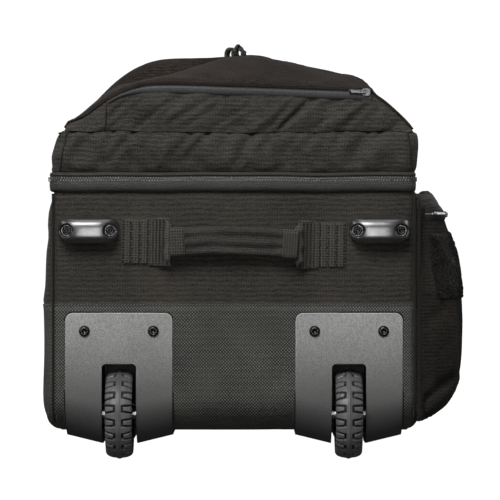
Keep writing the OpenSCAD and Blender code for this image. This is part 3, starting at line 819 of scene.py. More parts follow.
def tub_bulge(x, y, z, n):
    """How far the tub's cloth stands out from its wall."""
    w = (z - BACK_Z) / (ZIP_Z - 12 - BACK_Z)
    crown = max(0.0, 4 * w * (1 - w))
    if n[1] < -0.5:
        u = max(0.0, 1 - (x / HALF_W) ** 6)
        return 0.3 + (0.7 * crown + 0.6 * crumple(x, y, z * 2.4, 1)) * u
    ends = max(0.0, 1 - abs(2 * y / LENGTH - 1) ** 8)
    if n[0] < -0.5:
        swell = 1.6 + 3.6 * crown * ends + 1.6 * crumple(x, y * 0.8, z * 2, 2) * ends * crown ** 0.5
        swell += (0.4 - swell) * handle_flat("side", y, z)
        return swell + (LEFT_SWELL(z) * ease((y - 1) / 15) - swell) * (1 - ease((y - 40) / 160))
    if n[0] > 0.5:
        return 0.6 + (1.2 * crown + 0.9 * crumple(x, y * 0.8, z * 2, 3)) * ends
    swell = 0.6 + 1.5 * crown * max(0.0, 1 - (x / HALF_W) ** 6) + 0.8 * crumple(x, y, z, 4)
    return swell + (0.4 - swell) * handle_flat("top", x, z)


def under_housing(x, y, z):
    """True where a wheel housing's plate covers the cloth."""
    if abs(abs(x) - WHEEL_X) > PLATE_HALF - 3:
        return False
    return (y < EDGE_R + 2 and z < PLATE_TOP - 8) or (z < BACK_Z + 14 and y < HOUSING_END - 6)


def edge_y(z):
    """Where the base begins at a height: its lower edge is rounded under the case."""
    drop = min(max(BACK_Z + EDGE_R - z, 0), EDGE_R)
    return EDGE_R - math.sqrt(EDGE_R ** 2 - drop ** 2)


def bottom_lift(y):
    """The cloth's underside hangs a little higher near the base."""
    return 2.6 * math.exp(-max(y - EDGE_R, 0) / 24)


def tub_point(p, n, z, out):
    """Point of the tub's skin at a height, standing out that much from a point and normal of its outline."""
    (x, y), start = p, edge_y(z)
    low = min(max(BACK_Z + 11 - z, 0), 11)
    inset = 11 - math.sqrt(121 - low * low)
    y = LENGTH - (LENGTH - y) * (LENGTH - start) / LENGTH
    slope = min(max((BACK_Z + EDGE_R - z) / EDGE_R, 0), 1) if n[1] < 0 else 0
    flat = math.sqrt(1 - slope ** 2)
    lift = bottom_lift(y) * ease((BACK_Z + EDGE_R - z) / EDGE_R)
    return (x + n[0] * (out - inset), y + n[1] * (out * flat - (inset if n[1] > 0 else 0)),
            z + lift + n[1] * slope * out)


def seam_pinch(p, n):
    """1 at the tub's vertical corner seams, falling to 0 a little away from them."""
    away = HALF_W - abs(p[0]) if abs(n[1]) > 0.5 else min(p[1], LENGTH - p[1])
    return 1 - ease(away / 7.0)


def make_tub():
    path = rectangle_path(HALF_W, LENGTH, 8, 6)
    levels = [(BACK_Z + EDGE_R * (1 - math.cos(math.pi / 2 * k / 10)), 0) for k in range(10)]
    levels += [(z, 0) for z in spread(BACK_Z + EDGE_R, WEAVE_CHANGE, 14)]
    levels += [(z, 1) for z in [WEAVE_CHANGE + 0.2] + spread(WEAVE_CHANGE + 5, ZIP_Z - 17, 16)]
    levels += [(ZIP_Z - 13, 1)]
    verts = []
    for z, upper in levels:
        for p, n in path:
            out = tub_bulge(*p, z, n) + (0 if upper else 0.8) - 1.8 * seam_pinch(p, n)
            out -= 0.7 * ease((z - ZIP_Z + 18) / 5)
            verts.append(tub_point(p, n, z, out))
    verts += [tub_point(p, n, ZIP_Z - 10.2, -2.5) for p, n in path]
    rows, columns = len(levels) + 1, len(path)
    faces = [face for face in grid_faces(rows, columns, wrap_columns=True)
             if not under_housing(*middle_of(face, verts))]
    tub = piece("tub_cloth", verts, faces, ["ribbed_nylon", "ballistic_nylon"], "shell")
    for polygon in tub.data.polygons:
        if verts[max(polygon.vertices)][2] <= WEAVE_CHANGE + 0.1:
            polygon.material_index = 1
    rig.replaces(tub, "base_panel", "side_panel_left", "side_panel_right", "top_panel")
    make_back_cloth()


def make_back_cloth():
    """The basket-weave underside, which the rails and housings are screwed to."""
    xs = spread(-HALF_W + 10.6, HALF_W - 10.6, 54)
    ys = spread(EDGE_R - 1, LENGTH - 10.6, 104)
    verts = [(x, y, BACK_Z + bottom_lift(y) + 0.6 * crumple(x, y, 0, 5) * ease((y - EDGE_R) / 30))
             for y in ys for x in xs]
    faces = [face for face in grid_faces(len(ys), len(xs)) if not under_housing(*middle_of(face, verts))]
    back = piece("back_cloth", verts, faces, "ballistic_nylon", "shell")
    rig.replaces(back, "back_panel")


def make_housing_shadow_strips():
    """Dark strips standing in for the shadow between each housing's plate and the cloth that it presses in: painted
    shadow.
    """
    half, r = PLATE_HALF + 0.5, PLATE_CORNER
    for s, tag in ((-1, "left"), (1, "right")):
        arc = spread(0, math.pi / 2, 6)
        line = [(half, z) for z in spread(BACK_Z + 6, PLATE_TOP - r - 2, 14)]
        line += [(half - r * (1 - math.cos(a)), PLATE_TOP + 0.5 - r * (1 - math.sin(a))) for a in arc]
        line += [(-x, z) for x, z in reversed(line)]
        rim = [(s * WHEEL_X + x, edge_y(z) - 0.9, z) for x, z in line]
        sweep(f"housing_shadow_strip_{tag}", rim, circle_ring(1.1, 8), "piping", "shell")


def make_tub_seams():
    """Piping down the four corners, and the folded edge where the weave changes."""
    # Painted shadow round the wheel housings' plates.
    make_housing_shadow_strips()
    for i, (sx, sy) in enumerate([(-1, -1), (1, -1), (1, 1), (-1, 1)]):
        corner = (sx * (HALF_W - 2.2), 2.2 if sy < 0 else LENGTH - 2.2)
        n = (sx * 0.7, sy * 0.7)
        line = [tub_point(corner, n, z, 0.9 + 0.6 * fold(0, i * 9, z, 30))
                for z in spread(30, ZIP_Z - 13, 44)]
        sweep(f"corner_piping_{i}", line, circle_ring(1.2), "piping", "shell", up=(0, 1, 0))
    hem = [tub_point(p, n, WEAVE_CHANGE + 0.1, tub_bulge(*p, WEAVE_CHANGE, n) + 0.35 - 1.8 * seam_pinch(p, n))
           for p, n in rectangle_path(HALF_W, LENGTH, 8, 9)]
    sweep("weave_change_hem", hem, circle_ring(0.8, 6), "ballistic_nylon", "shell", closed=True)


def lining_walls(path, rows, depth, squash, seed):
    """Points of a lining hung inside a path. A row is (inset, height), and rows without an inset ripple."""
    verts = []
    for inset, z in rows:
        for (x, y), n in path:
            ripple = depth * max(0.0, crumple(x, y, z * squash, seed)) if inset == 0 else 0
            verts.append((x - n[0] * (inset + ripple), y - n[1] * (inset + ripple), z))
    return verts


WELL_TOP = span("wheel_housing_right")[0].z + 84


def make_lining():
    """The tub's lining: walls, floor and the rim that the main zip is sewn to."""
    path = rectangle_path(HALF_W - 5, LENGTH - 5, 14, 16, y_start=8.5)
    floor_z = span("floor_pad")[1].z + 0.5
    rows = [(3.0, floor_z + 0.4), (0.6, floor_z + 4)] + [(0, z) for z in spread(floor_z + 14, ZIP_Z - 4, 12)]
    rows += [(-2.2, ZIP_Z - 1.2), (-4.4, ZIP_Z - 1.0), (-5.0, ZIP_Z - 3.0)]
    verts = lining_walls(path, rows, 1.2, 0.6, 9)

    def in_well(face):
        x, y, z = middle_of(face, verts)
        return abs(abs(x) - WHEEL_X) < 27 and y < 12 and z < WELL_TOP

    faces = [face for face in grid_faces(len(rows), len(path), wrap_columns=True) if not in_well(face)]
    piece("tub_lining", verts, turned(faces), "lining", "shell")
    xs, ys = spread(-HALF_W + 7, HALF_W - 7, 44), spread(10, LENGTH - 7, 88)
    cloth = sheet("floor_cloth", ys, xs, lambda y, x: (x, y, floor_z + 0.5 + 0.8 * crumple(x, y, 0, 12)),
                  "lining", "shell")
    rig.replaces(cloth, "floor_pad")
    for s, tag in ((-1, "left"), (1, "right")):
        make_well_cover(s, tag, floor_z)


def make_well_cover(s, tag, floor_z):
    """Lining stretched over a wheel housing inside the tub."""
    top, end, half = WELL_TOP, WHEEL_Y + 52, 26
    profile = [(9.5, top), (end - 12, top), (end - 3.5, top - 3.5), (end, top - 12), (end + 5, floor_z + 1)]

    def draped(row, t):
        (y, z), flank = row, ease((abs(t) - 0.72) / 0.28)
        return s * WHEEL_X + half * t * (1 + 0.55 * flank), y, z + (floor_z + 1 - z) * flank

    sheet(f"well_cover_{tag}", profile, spread(-1, 1, 17), draped, "lining", "shell")


# ---------------------------------------------------------------- zips


def zip_route():
    """The main zip's way round: from the far left, along the left side, the base and the right side."""
    path = [(p, n) for p, n in rectangle_path(HALF_W, LENGTH, 8, 6) if p[1] < LENGTH - 16]
    start = next(i for i, (p, n) in enumerate(path) if p[0] < 0)
    return path[start:] + path[:start]


def zip_point(p, n, out, z):
    """A point of the zip's band, which stands out less along the sides and wanders a little."""
    if out > 0:
        side = 1 - n[1] ** 2
        out *= 1 - (0.6 if n[0] < 0 else 0.9) * side
        out -= 1.6 * side if n[0] > 0 else 0
    out += 0.5 * fold(*p, 0, 60, 5)
    return (p[0] + n[0] * out, p[1] + n[1] * out, z + 0.9 * fold(*p, 3, 55, 8))


def make_zip_band(name, base_z, profile, material, body, node):
    """One band of the main zip, whose section is listed as (out, height over base_z)."""
    path = zip_route()
    verts, laid, travelled, last = [], [], 0.0, path[0][0]
    for p, n in path:
        travelled += math.dist(p, last)
        last = p
        verts += [zip_point(p, n, out, base_z + z) for out, z in profile]
        laid += [(travelled, k * 2.0) for k in range(len(profile))]
    band = piece(name, verts, grid_faces(len(path), len(profile)), material, body, "zip_tape", cloth=laid)
    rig.replaces(band, node)


def make_main_zip():
    """A rolled band on the tub, a grooved one on the lid, and the teeth between them."""
    lower = [(-2.0, -10.4), (1.4, -10.9), (3.2, -10.4), (4.5, -8.9), (5.1, -6.8), (5.3, -4.6), (5.2, -2.6),
             (4.8, -1.2), (4.2, -0.5), (2.0, -0.2)]
    upper = [(2.0, 0.2), (3.9, 0.5), (3.4, 1.6), (3.0, 2.2), (4.2, 2.7), (4.9, 3.6), (4.5, 4.9), (3.0, 5.9),
             (1.4, 6.2), (-2.0, 6.0)]
    make_zip_band("zip_band_lower", ZIP_Z, lower, "zip_tape", "shell", "main_zip_lower")
    make_zip_band("zip_band_upper", LID_Z, upper, "dark_tape", "lid", "main_zip_upper")
    tooth = brick(1.4, 2.8, 1.5, 0.5)
    for name, body, z, rest in (("teeth_lower", "shell", ZIP_Z - 0.7, 1.0),
                                ("teeth_upper", "lid", LID_Z + 0.7, 2.1)):
        line = [(Vector(zip_point(p, n, 4.7, z)), (*n, 0)) for p, n in zip_route()]
        places = []
        for (a, out), (b, _) in zip(line, line[1:]):
            length = (b - a).length
            while rest < length:
                places.append((a.lerp(b, rest / length), b - a, out))
                rest += 2.5
            rest -= length
        many(name, places, tooth, "zip_teeth", body, "zip_tape")


# ---------------------------------------------------------------- the lid


def gathers(seed, low, high, step, depth, lean, reach, strong=()):
    """Creases that start at a sewn seam and fade away from it, besides the given strong ones."""
    chance = random.Random(seed)
    creases = list(strong)
    x = low
    while x < high:
        width, deep = chance.uniform(2.2, 5.0), chance.uniform(0.3, 1.0) * depth
        creases.append((x, width, deep, lean * chance.uniform(0.5, 1.4), reach * chance.uniform(0.6, 1.5)))
        x += step * chance.uniform(0.6, 1.5)

    def sink(x, away):
        total, away = 0.0, max(away, 0.0)
        for start, width, deep, slant, far in creases:
            side = (x - start - slant * away) / (width * (1 + away / far))
            if abs(side) < 3:
                total += deep * math.exp(-side * side - (away / far) ** 1.5)
        return total

    return sink


BASE_GATHERS = gathers(11, -150, 160, 16, 7.5, -0.6, 15)
SIDE_GATHERS = gathers(12, 20, 700, 34, 2.6, 0.4, 12)
ROOT_GATHERS = gathers(15, -140, 150, 30, 5.0, 1.15, 15,
                       [(40, 3.2, 9.0, 1.05, 34), (-74, 3.6, 5.0, 1.7, 30), (-12, 2.6, 5.0, 1.3, 14),
                        (70, 9, 5.0, 0.9, 40)])


def lid_seam(x):
    """Height of the seam along the lid's base edge."""
    return LID_TOP - 1.4 + 1.8 * fold(x, 0, 0, 30, 2) - 1.6 * math.exp(-((x - 5) / 60) ** 2)


def lid_taper(z):
    """How far the lid's left end draws in near the base."""
    return 2.1 * ease((z - 262) / 9) + 4.5 * max((z - 268) / 27, 0) ** 2


def lid_bulge(x, y, z, n):
    top = lid_seam(x)
    w = min(max((z - LID_Z - 6) / (top - LID_Z - 6), 0), 1)
    crown = max(0.0, 4 * w * (1 - w)) ** 0.6
    if n[1] < -0.5:
        slant = x + (z - 280) * 0.8
        relief = 1.6 * fold(slant, 0, z * 0.3, 15, 4) + 2.2 * fold(slant, 0, z * 0.4, 36, 6)
        gathered = BASE_GATHERS(x, top - z) * ease((z - LID_Z - 6) / 10)
        taper = lid_taper(z) * ease(-n[0] / 0.8) * 1.1
        return 0.6 + 3.6 * crown + relief * crown - gathered - taper
    relief = 0.9 * fold(x * 0.3, y, z * 0.3, 24, 14) + 0.9 * fold(x, y, z, 55, 11)
    along = y if abs(n[0]) > 0.5 else x + 350
    swell = 0.6 + 2.8 * crown
    near = 1 - ease((y - 30) / 180)
    if n[0] < -0.5:
        swell += (0.2 - lid_taper(z) - swell) * near
    elif n[0] > 0.5:
        swell += (3.2 * ease((z - 268) / 18) - 3.0 - swell) * near
    return swell + relief * crown - SIDE_GATHERS(along, top - z) * crown


def make_lid_gusset():
    path = rectangle_path(HALF_W, LENGTH, 13, 4)
    levels = spread(0, 1, 15)
    verts = [(p[0] - 3.5 * n[0], p[1] - 3.5 * n[1], LID_Z + 5.6) for p, n in path]
    for t in levels:
        for p, n in path:
            base_side = n[1] < -0.5
            top = lid_seam(p[0]) if base_side else LID_TOP - 1
            z = LID_Z + 6.2 + (top - LID_Z - 6.2) * t
            drop = max(0.0, (3.5 if base_side else 8) - (top - z))
            inset = drop * 0.5 if base_side else 8 - math.sqrt(64 - drop * drop)
            out = lid_bulge(*p, z, n) * (1 - 0.6 * ease(1 - t * 8)) - inset
            verts.append((p[0] + n[0] * out, p[1] + n[1] * out, z))
    rows, columns = len(levels) + 1, len(path)
    faces = grid_faces(rows, columns, wrap_columns=True)
    skin = piece("lid_gusset_cloth", verts, faces, "lid_nylon", "lid")
    pins = [k for k in range(len(verts)) if k < 2 * columns or k >= (rows - 1) * columns]
    shift = settle(skin, pins, 1.5, 0.05, 2.5)
    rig.replaces(skin, "lid_gusset")
    for tag, x_low, x_high in (("left", -162.5, -155.5), ("right", 165.5, 161)):
        line = []
        for t in spread(0.02, 1, 18):
            z = LID_Z + 6.5 + (LID_TOP - LID_Z - 8.5) * t
            x = x_low + (x_high - x_low) * t + 0.5 * fold(0, x_low, z, 12)
            stand = lid_bulge(x, 0, z, (0, -1)) * (1 - 0.4 * ease(1 - t * 8))
            line.append((x, -stand + 0.2 + ease(t * 6 - 5), z))
        sweep(f"lid_corner_seam_{tag}", line, circle_ring(0.9, 6), "piping", "lid", up=(0, 1, 0),
              put=moved(shift))


def make_lid_top():
    xs, ys = spread(-HALF_W + 5.5, HALF_W - 5.5, 60), spread(1.5, LENGTH - 5.5, 118)

    def crowned(y, x):
        rim = ease((abs(x) - HALF_W + 16) / 12)
        return x, y, LID_TOP - 0.5 - 2.2 * rim + 0.7 * crumple(x, y, 0, 15) * (1 - rim)

    top = sheet("lid_top_cloth", ys, xs, crowned, "lid_nylon", "lid")
    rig.replaces(top, "lid_panel")


def make_lid_lining():
    path = rectangle_path(HALF_W - 5, LENGTH - 5, 14, 16, y_start=5)
    rows = [(-4.8, LID_Z + 2.2), (-4.0, LID_Z + 0.9), (-2.0, LID_Z + 0.8), (0, LID_Z + 4)]
    rows += [(0, z) for z in spread(LID_Z + 10, LID_TOP - 9, 4)] + [(3.5, LID_TOP - 5.6)]
    verts = lining_walls(path, rows, 0.8, 1, 19)
    faces = turned(grid_faces(len(rows), len(path), wrap_columns=True))
    piece("lid_lining", verts, faces, "lining", "lid")
    xs, ys = spread(-HALF_W + 8, HALF_W - 8, 40), spread(8, LENGTH - 8, 80)
    sheet("lid_ceiling", ys, xs, lambda y, x: (x, y, LID_TOP - 5.5 - 0.7 * crumple(x, y, 0, 22)),
          "lining", "lid", flip=True)


def make_hinge_cloth():
    """Cloth that joins the tub's far end to the lid and bends as the lid opens."""
    width = span("hinge_binding")[1].x
    low, high = span("hinge_binding")[0].z, LID_Z + 20
    zs, xs = spread(low, high, 24), spread(-width, width, 54)

    def hung(z, x):
        sink = 1.4 * math.exp(-((z - ZIP_Z) / 3) ** 2)
        return x, LENGTH + 3.6 - sink + 0.5 * crumple(x, 0, z, 17), z

    flap = sheet("hinge_cloth", zs, xs, hung, "ribbed_nylon", None, flip=True, slot="webbing")
    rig.blend(flap, "shell", "lid", place((0, LENGTH, ZIP_Z - 6)), place((0, LENGTH, ZIP_Z + 5)))
    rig.replaces(flap, "hinge_binding")


# ---------------------------------------------------------------- front pockets


# Heights over x of the lower pocket's rim and crest
RIM = curve([(-158, 304), (-156, 309.5), (-140, 316.5), (-119, 331.5), (-98, 342.5), (-76, 348), (0, 346.5),
             (70, 344), (127, 341), (131, 336.5), (140, 330), (152, 319.5), (162, 309.5), (167, 303)])
CREST = curve([(-162, 304), (-158, 311), (-145, 322), (-128, 338), (-114, 348), (-95, 352), (-73, 356.8),
               (-40, 367), (-6, 378), (19, 378.5), (42, 375), (74, 367.5), (103, 361), (122, 355.5),
               (130, 345), (133, 335), (141, 329.5), (152, 318.5), (161, 311), (170, 303)])
CREST_Y = 150.0
POCKET_END = span("lower_pocket")[1].y
RIM_Y = 6.5


def pocket_front(t, w):
    """Point on the lower pocket's front: t runs from left to right, w from the rim to the far root."""
    top = (CREST_Y - RIM_Y) / (POCKET_END - RIM_Y)
    rise = math.sin(math.pi / 2 * min(w / top, 1.0)) ** 0.9
    x_rim, x_crest = -158 + 325 * t, -162 + 332 * t
    y = RIM_Y + (POCKET_END - RIM_Y) * w
    x = x_rim + (x_crest - x_rim) * rise
    rim, crest = RIM(x_rim), CREST(x_crest)
    if w < top:
        z = rim + (crest - rim) * rise
    else:
        z = 304 + (crest - 304) * (1 - ((w - top) / (1 - top)) ** 3.2)
    relief = 1.4 * crumple(x, y, 0, 31) + 0.8 * fold(x + 0.4 * y, y * 0.4, 0, 22, 3)
    return x, y, z + ease((z - 306) / 20) * relief * ease(w * 14)


def pocket_gusset(x, v):
    """Point on the lower pocket's base-facing side: v runs from its root to the rim."""
    rim, root = RIM(x), lid_seam(x) + 0.6
    z = root + (rim - root) * v
    tall = ease((rim - 306) / 26)
    slant = x - 1.1 * (z - 304)
    folds = 2.6 * fold(slant, 0, z * 0.2, 30, 9) + 1.1 * fold(slant, 0, z * 0.3, 12, 2)
    round_out = max(0.0, math.sin(math.pi * min(v * 1.04, 1)))
    sink = ROOT_GATHERS(x, z - root) * ease(v * 9)
    puff = (3.8 + folds) * round_out ** 0.7 - sink * round_out ** 0.4
    return x, 1.6 + (RIM_Y - 1.6) * v - tall * puff, z


def make_lower_pocket():
    ts = spread(0, 1, 84)
    ws = [w ** 1.25 for w in spread(0, 1, 52)]
    front = sheet("lower_pocket_front", ws, ts, lambda w, t: pocket_front(t, w), "pocket_nylon", "lid")
    crest_row = min(range(len(ws)), key=lambda k: abs(ws[k] - 0.56))
    settle(front, border(len(ws), len(ts), 1, (crest_row,)), 1.5, 0.035, 3)
    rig.padded(front, 0.45)
    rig.replaces(front, "lower_pocket")
    xs, vs = spread(-158, 167, 120), spread(0, 1, 16)
    side = sheet("lower_pocket_gusset", vs, xs, lambda v, x: pocket_gusset(x, v), "lid_nylon", "lid")
    shift = settle(side, border(len(vs), len(xs), 1, range(len(vs) - 4, len(vs))), 1.2, 0.05, 3)
    make_pocket_zip()
    make_pocket_seams(moved(shift))


def tape_width(x):
    """The pocket zip's lower tape shows more where the rim runs level."""
    return 0.45 + 0.55 * ease((x + 112) / 40)


def make_pocket_zip():
    """The zip under the lower pocket's rim, from its corner seam to the slider."""
    xs = spread(-117, 128, 70)
    lower = [(-10.6, 0.2), (-9.8, 1.8), (-8.0, 2.7), (-5.4, 3.0), (-3.0, 2.6), (-2.2, 1.4)]
    upper = [(-1.6, 1.4), (-0.8, 2.5), (0.6, 2.8), (2.0, 2.0), (3.0, 0.6)]
    for name, section, material in (("pocket_tape_lower", lower, "smooth_tape"),
                                    ("pocket_tape_upper", upper, "pocket_nylon")):
        verts = [(x, RIM_Y - 1.6 - out, RIM(x) + dz * (tape_width(x) if dz < -2.2 else 1))
                 for x in xs for dz, out in section]
        laid = [(x, 2.0 * k) for x in xs for k in range(len(section))]
        piece(name, verts, grid_faces(len(xs), len(section)), material, "lid", "zip_tape", laid)
    for name, dz, phase in (("pocket_teeth_lower", -2.7, 0.0), ("pocket_teeth_upper", -1.1, 1.2)):
        line = [(x, RIM_Y - 3.2, RIM(x) + dz) for x in spread(-117 + phase, 127 + phase, 80)]
        places = [(p, d, (0, -1, 0)) for p, d in along_path(line, 2.6)]
        many(name, places, brick(1.4, 2.0, 1.3, 0.5), "rail_plastic", "lid", "zip_tape")


def make_pocket_seams(put):
    """The lower pocket's corner seam, which moves with its gusset, its rim, and its crest seam, lighter as a painted
    highlight.
    """
    seam = []
    for v in spread(0.05, 1, 16):
        x, y, z = pocket_gusset(-121 + 3.5 * v + 0.8 * math.sin(5 * v), v * 0.97)
        seam.append((x, y - 0.2, z))
    sweep("pocket_corner_seam", seam, circle_ring(0.8, 6), "piping", "lid", up=(0, 1, 0), put=put)
    rim = [(x, RIM_Y - 0.4, RIM(x) + 1.0) for x in spread(-157.6, 166.4, 96)]
    sweep("pocket_rim", rim, circle_ring(1.3), "pocket_nylon", "lid", up=(0, 1, 0))
    # The crest seam's lighter piping is a painted highlight along the crest.
    crest = []
    for t in spread(0.05, 0.95, 70):
        x, y, z = pocket_front(t, 0.56)
        crest.append((x, y, z + 1.3))
    sweep("pocket_crest_seam", crest, circle_ring(0.8, 6), "crest_piping", "lid", slot="webbing")


# Height over x of the upper pocket
UPPER = curve([(-164, 304), (-160, 315), (-150, 328), (-141, 340), (-121, 361), (-108, 371.5), (-98, 377),
               (-80, 383), (-58, 384.5), (-20, 385), (12, 388.5), (30, 387), (50, 380), (78, 371), (98, 364),
               (120, 352), (146, 326), (158, 312), (164, 304)])
UPPER_START = span("upper_pocket")[0].y
UPPER_END = span("upper_pocket")[1].y


def upper_front(t, w):
    """Point on the upper pocket: t runs from left to right, w from its near end to its far one."""
    x = -164 + 328 * t
    y = UPPER_START + (UPPER_END - UPPER_START) * w
    near = (1 - (1 - min(w / 0.09, 1)) ** 2.6) ** (1 / 2.2)
    far = (1 - (1 - min((1 - w) / 0.10, 1)) ** 2.8) ** (1 / 2.4)
    sag = 1 - 0.07 * ease((w - 0.35) / 0.5)
    z = 303.6 + (UPPER(x) - 303.6) * near * far * sag
    relief = 2.2 * crumple(x, y, 0, 41) + fold(x * 0.5, y + 0.3 * x, 0, 26, 13)
    return x, y, z + ease((z - 306) / 25) * relief


def make_upper_pocket():
    ts = spread(0, 1, 76)
    ws = [0.5 - 0.5 * math.cos(math.pi * w) for w in spread(0, 1, 96)]
    front = sheet("upper_pocket_front", ws, ts, lambda w, t: upper_front(t, w), "pocket_nylon", "lid")
    settle(front, border(len(ws), len(ts), 2), 1.2, 0.03, 3)
    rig.padded(front, 0.5)
    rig.replaces(front, "upper_pocket")
    make_far_zip()


def make_far_zip():
    """The upper pocket's zip, across its far end."""
    y, z = span("pocket_zips")[1].y - 1.0, span("upper_pocket_slider")[1].z - 5.5
    xs = spread(-100, 100, 50)
    for name, section in (("far_tape_lower", [(-7, -1.0), (-6, 1.2), (-3, 1.8), (-0.9, 1.4)]),
                          ("far_tape_upper", [(0.9, 1.4), (3, 1.8), (6, 1.2), (7, -1.0)])):
        verts = [(x, y + out, z + dz) for x in xs for dz, out in section]
        laid = [(x, dz) for x in xs for dz, out in section]
        faces = turned(grid_faces(len(xs), len(section)))
        piece(name, verts, faces, "smooth_tape", "lid", "zip_tape", laid)
    places = [(p, d, (0, 1, 0)) for p, d in along_path([(-99, y + 1, z), (99, y + 1, z)], 2.4)]
    teeth = many("far_teeth", places, brick(1.5, 2.8, 1.2, 0.6), "zip_teeth", "lid", "zip_tape")
    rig.replaces(teeth, "pocket_zips")


def make_lash_loops():
    """Two soft webbing loops on the upper pocket's crest."""
    low, high = span("lash_loop")
    middle, foot, y = (low.x + high.x) / 2, low.z, (low.y + high.y) / 2
    hump = [(-8.0, -0.6), (-8.3, 3.0), (-7.2, 6.4), (-4.9, 8.2), (-2.6, 7.0), (-1.7, 4.6), (-1.2, 1.6),
            (-0.2, 0.4), (0.8, 1.8), (0.8, 5.4), (1.8, 8.8), (3.6, 10.6), (5.2, 9.4), (6.4, 7.2), (8.0, 5.8),
            (8.2, 2.5), (7.6, -0.8)]
    path = [(middle + a, y + 2.2 * math.sin(0.35 * a), foot + b) for a, b in resample(hump, 70)]
    loop = sweep("lash_loop_webbing", path, rounded_ring(3.1, 15, 1.3, 3), "webbing", "lid", up=(0.22, 1, 0))
    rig.replaces(loop, "lash_loop")


def resample(points, count):
    """Evenly spaced points along a smooth line through a few."""
    lengths = [0.0]
    for a, b in zip(points, points[1:]):
        lengths.append(lengths[-1] + math.dist(a, b))
    fx = curve([(s, p[0]) for s, p in zip(lengths, points)])
    fz = curve([(s, p[1]) for s, p in zip(lengths, points)])
    return [(fx(s), fz(s)) for s in spread(0, lengths[-1], count)]


# ---------------------------------------------------------------- side pocket


# The pocket's cross section, as (x, z) from its upper root round to its lower one
SIDE_OUTLINE = [(169.5, 242.5), (174.5, 240.5), (181, 246.5), (188, 243.5), (196, 234), (199, 226.5),
                (201, 219), (203.5, 207), (207.5, 188), (211.5, 159), (212.2, 144), (213, 118), (212.6, 96),
                (211, 79), (205.5, 57.5), (193.5, 43), (176, 33), (168.5, 32.4)]
SIDE_SECTION = resample(SIDE_OUTLINE, 60)
OUTER_X = curve([(-z, x) for x, z in SIDE_SECTION[8:44]])


def side_rows():
    """(y, how far the pocket stands out) for each row, with round ends."""
    start, end, bend = SIDE_POCKET[0].y - 3, SIDE_POCKET[1].y, 30
    ends = [(bend * (1 - math.cos(a)), math.sin(a) ** 0.8) for a in spread(0, math.pi / 2, 15)]
    rows = [(start + y, out) for y, out in ends]
    rows += [(y, 1.0) for y in spread(start + bend + 7, end - bend - 7, 60)]
    return rows + [(end - y, out) for y, out in reversed(ends)]


def side_point(y, out, x, z, proud=0.0):
    """Point of the side pocket's skin over its outline, standing proud of it by that much."""
    stand = (x - HALF_W) * out
    droop = 1 + 0.04 * math.sin(y / 85) if y > 60 else 1
    flat = ease(stand / 14)
    dents = 2.4 * crumple(x * 0.5, y, z, 51) + 1.4 * fold(x, y + 0.5 * z, z * 0.4, 24, 6)
    crease = math.exp(-((z - 60 - 0.9 * (stand - 20)) / 7) ** 2) * ease((stand - 4) / 10)
    sink = (5.0 * crease + 2.5 * math.exp(-((stand - 9) / 4) ** 2) * flat) * ease((60 - y) / 40)
    squeeze = 1 - 0.05 * (1 - out) * (1 if z < 140 else 0.3)
    x = HALF_W + stand * droop + (dents + proud) * flat
    return x, y - proud * (1 - out) + sink, 138 + (z - 138) * squeeze


def make_side_pocket():
    rows = side_rows()
    verts = [side_point(y, out, x, z) for y, out in rows for x, z in SIDE_SECTION]
    faces = turned(grid_faces(len(rows), len(SIDE_SECTION)))
    pocket = piece("side_pocket_cloth", verts, faces, ["dark_nylon", "ribbed_nylon"], "shell")
    for polygon in pocket.data.polygons:
        if verts[min(polygon.vertices)][2] > 231 and verts[max(polygon.vertices)][2] > 231:
            polygon.material_index = 1
    shift = settle(pocket, border(len(rows), len(SIDE_SECTION)), 1.2, 0.04, 3)
    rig.padded(pocket, 0.5)
    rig.replaces(pocket, "side_pocket")
    make_side_zip(rows, moved(shift))
    make_patch(rows, moved(shift))
    y, out = min(rows[:15], key=lambda row: abs(row[1] - 0.88))
    make_slider("pocket_side", "side_pocket_slider", "pocket_slider_side",
                side_point(y, out, OUTER_X(-226), 226, 1.4), (0.6, 0.8, 0), (0.77, -0.58, 0.27),
                ((-0.6, -0.8, 0.02), 19, 3.0, "steel"), 0.6)
    # Dark piping along the pocket's root, thick enough to stand in for the shade where the pocket meets the tub:
    # partly piping, partly painted shade.
    root = [(HALF_W + 2.4, SIDE_POCKET[0].y - 2.2 + 0.5 * fold(0, 0, z, 15), z) for z in spread(34, 239, 40)]
    sweep("side_pocket_root", root, circle_ring(1.7), "piping", "shell", up=(0, 1, 0))


def make_side_zip(rows, put):
    """Dark tape with a coil between its halves, along the pocket's upper slope."""
    rows = [row for row in rows if row[1] > 0.3 and row[0] < SIDE_POCKET[1].y - 25]
    levels = [(232.4, 0.2), (231.6, 1.1), (229.2, 1.4), (227.6, 1.0), (226.4, 1.0), (224.8, 1.4),
              (222.0, 1.1), (221.2, 0.2)]
    verts = [side_point(y, out, OUTER_X(-z), z, proud) for y, out in rows for z, proud in levels]
    faces = turned(grid_faces(len(rows), len(levels)))
    tape = piece("side_pocket_tape", verts, faces, "piping", "shell", "zip_tape", put=put)
    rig.replaces(tape, "side_pocket_zip")
    line = [side_point(y, out, OUTER_X(-227), 227, 0.8) for y, out in rows]
    places = [(p, d, (1, -0.2, 0.3)) for p, d in along_path(line, 2.4)]
    many("side_pocket_teeth", places, brick(1.6, 2.4, 1.2, 0.6), "zip_teeth", "shell", "zip_tape", put=put)


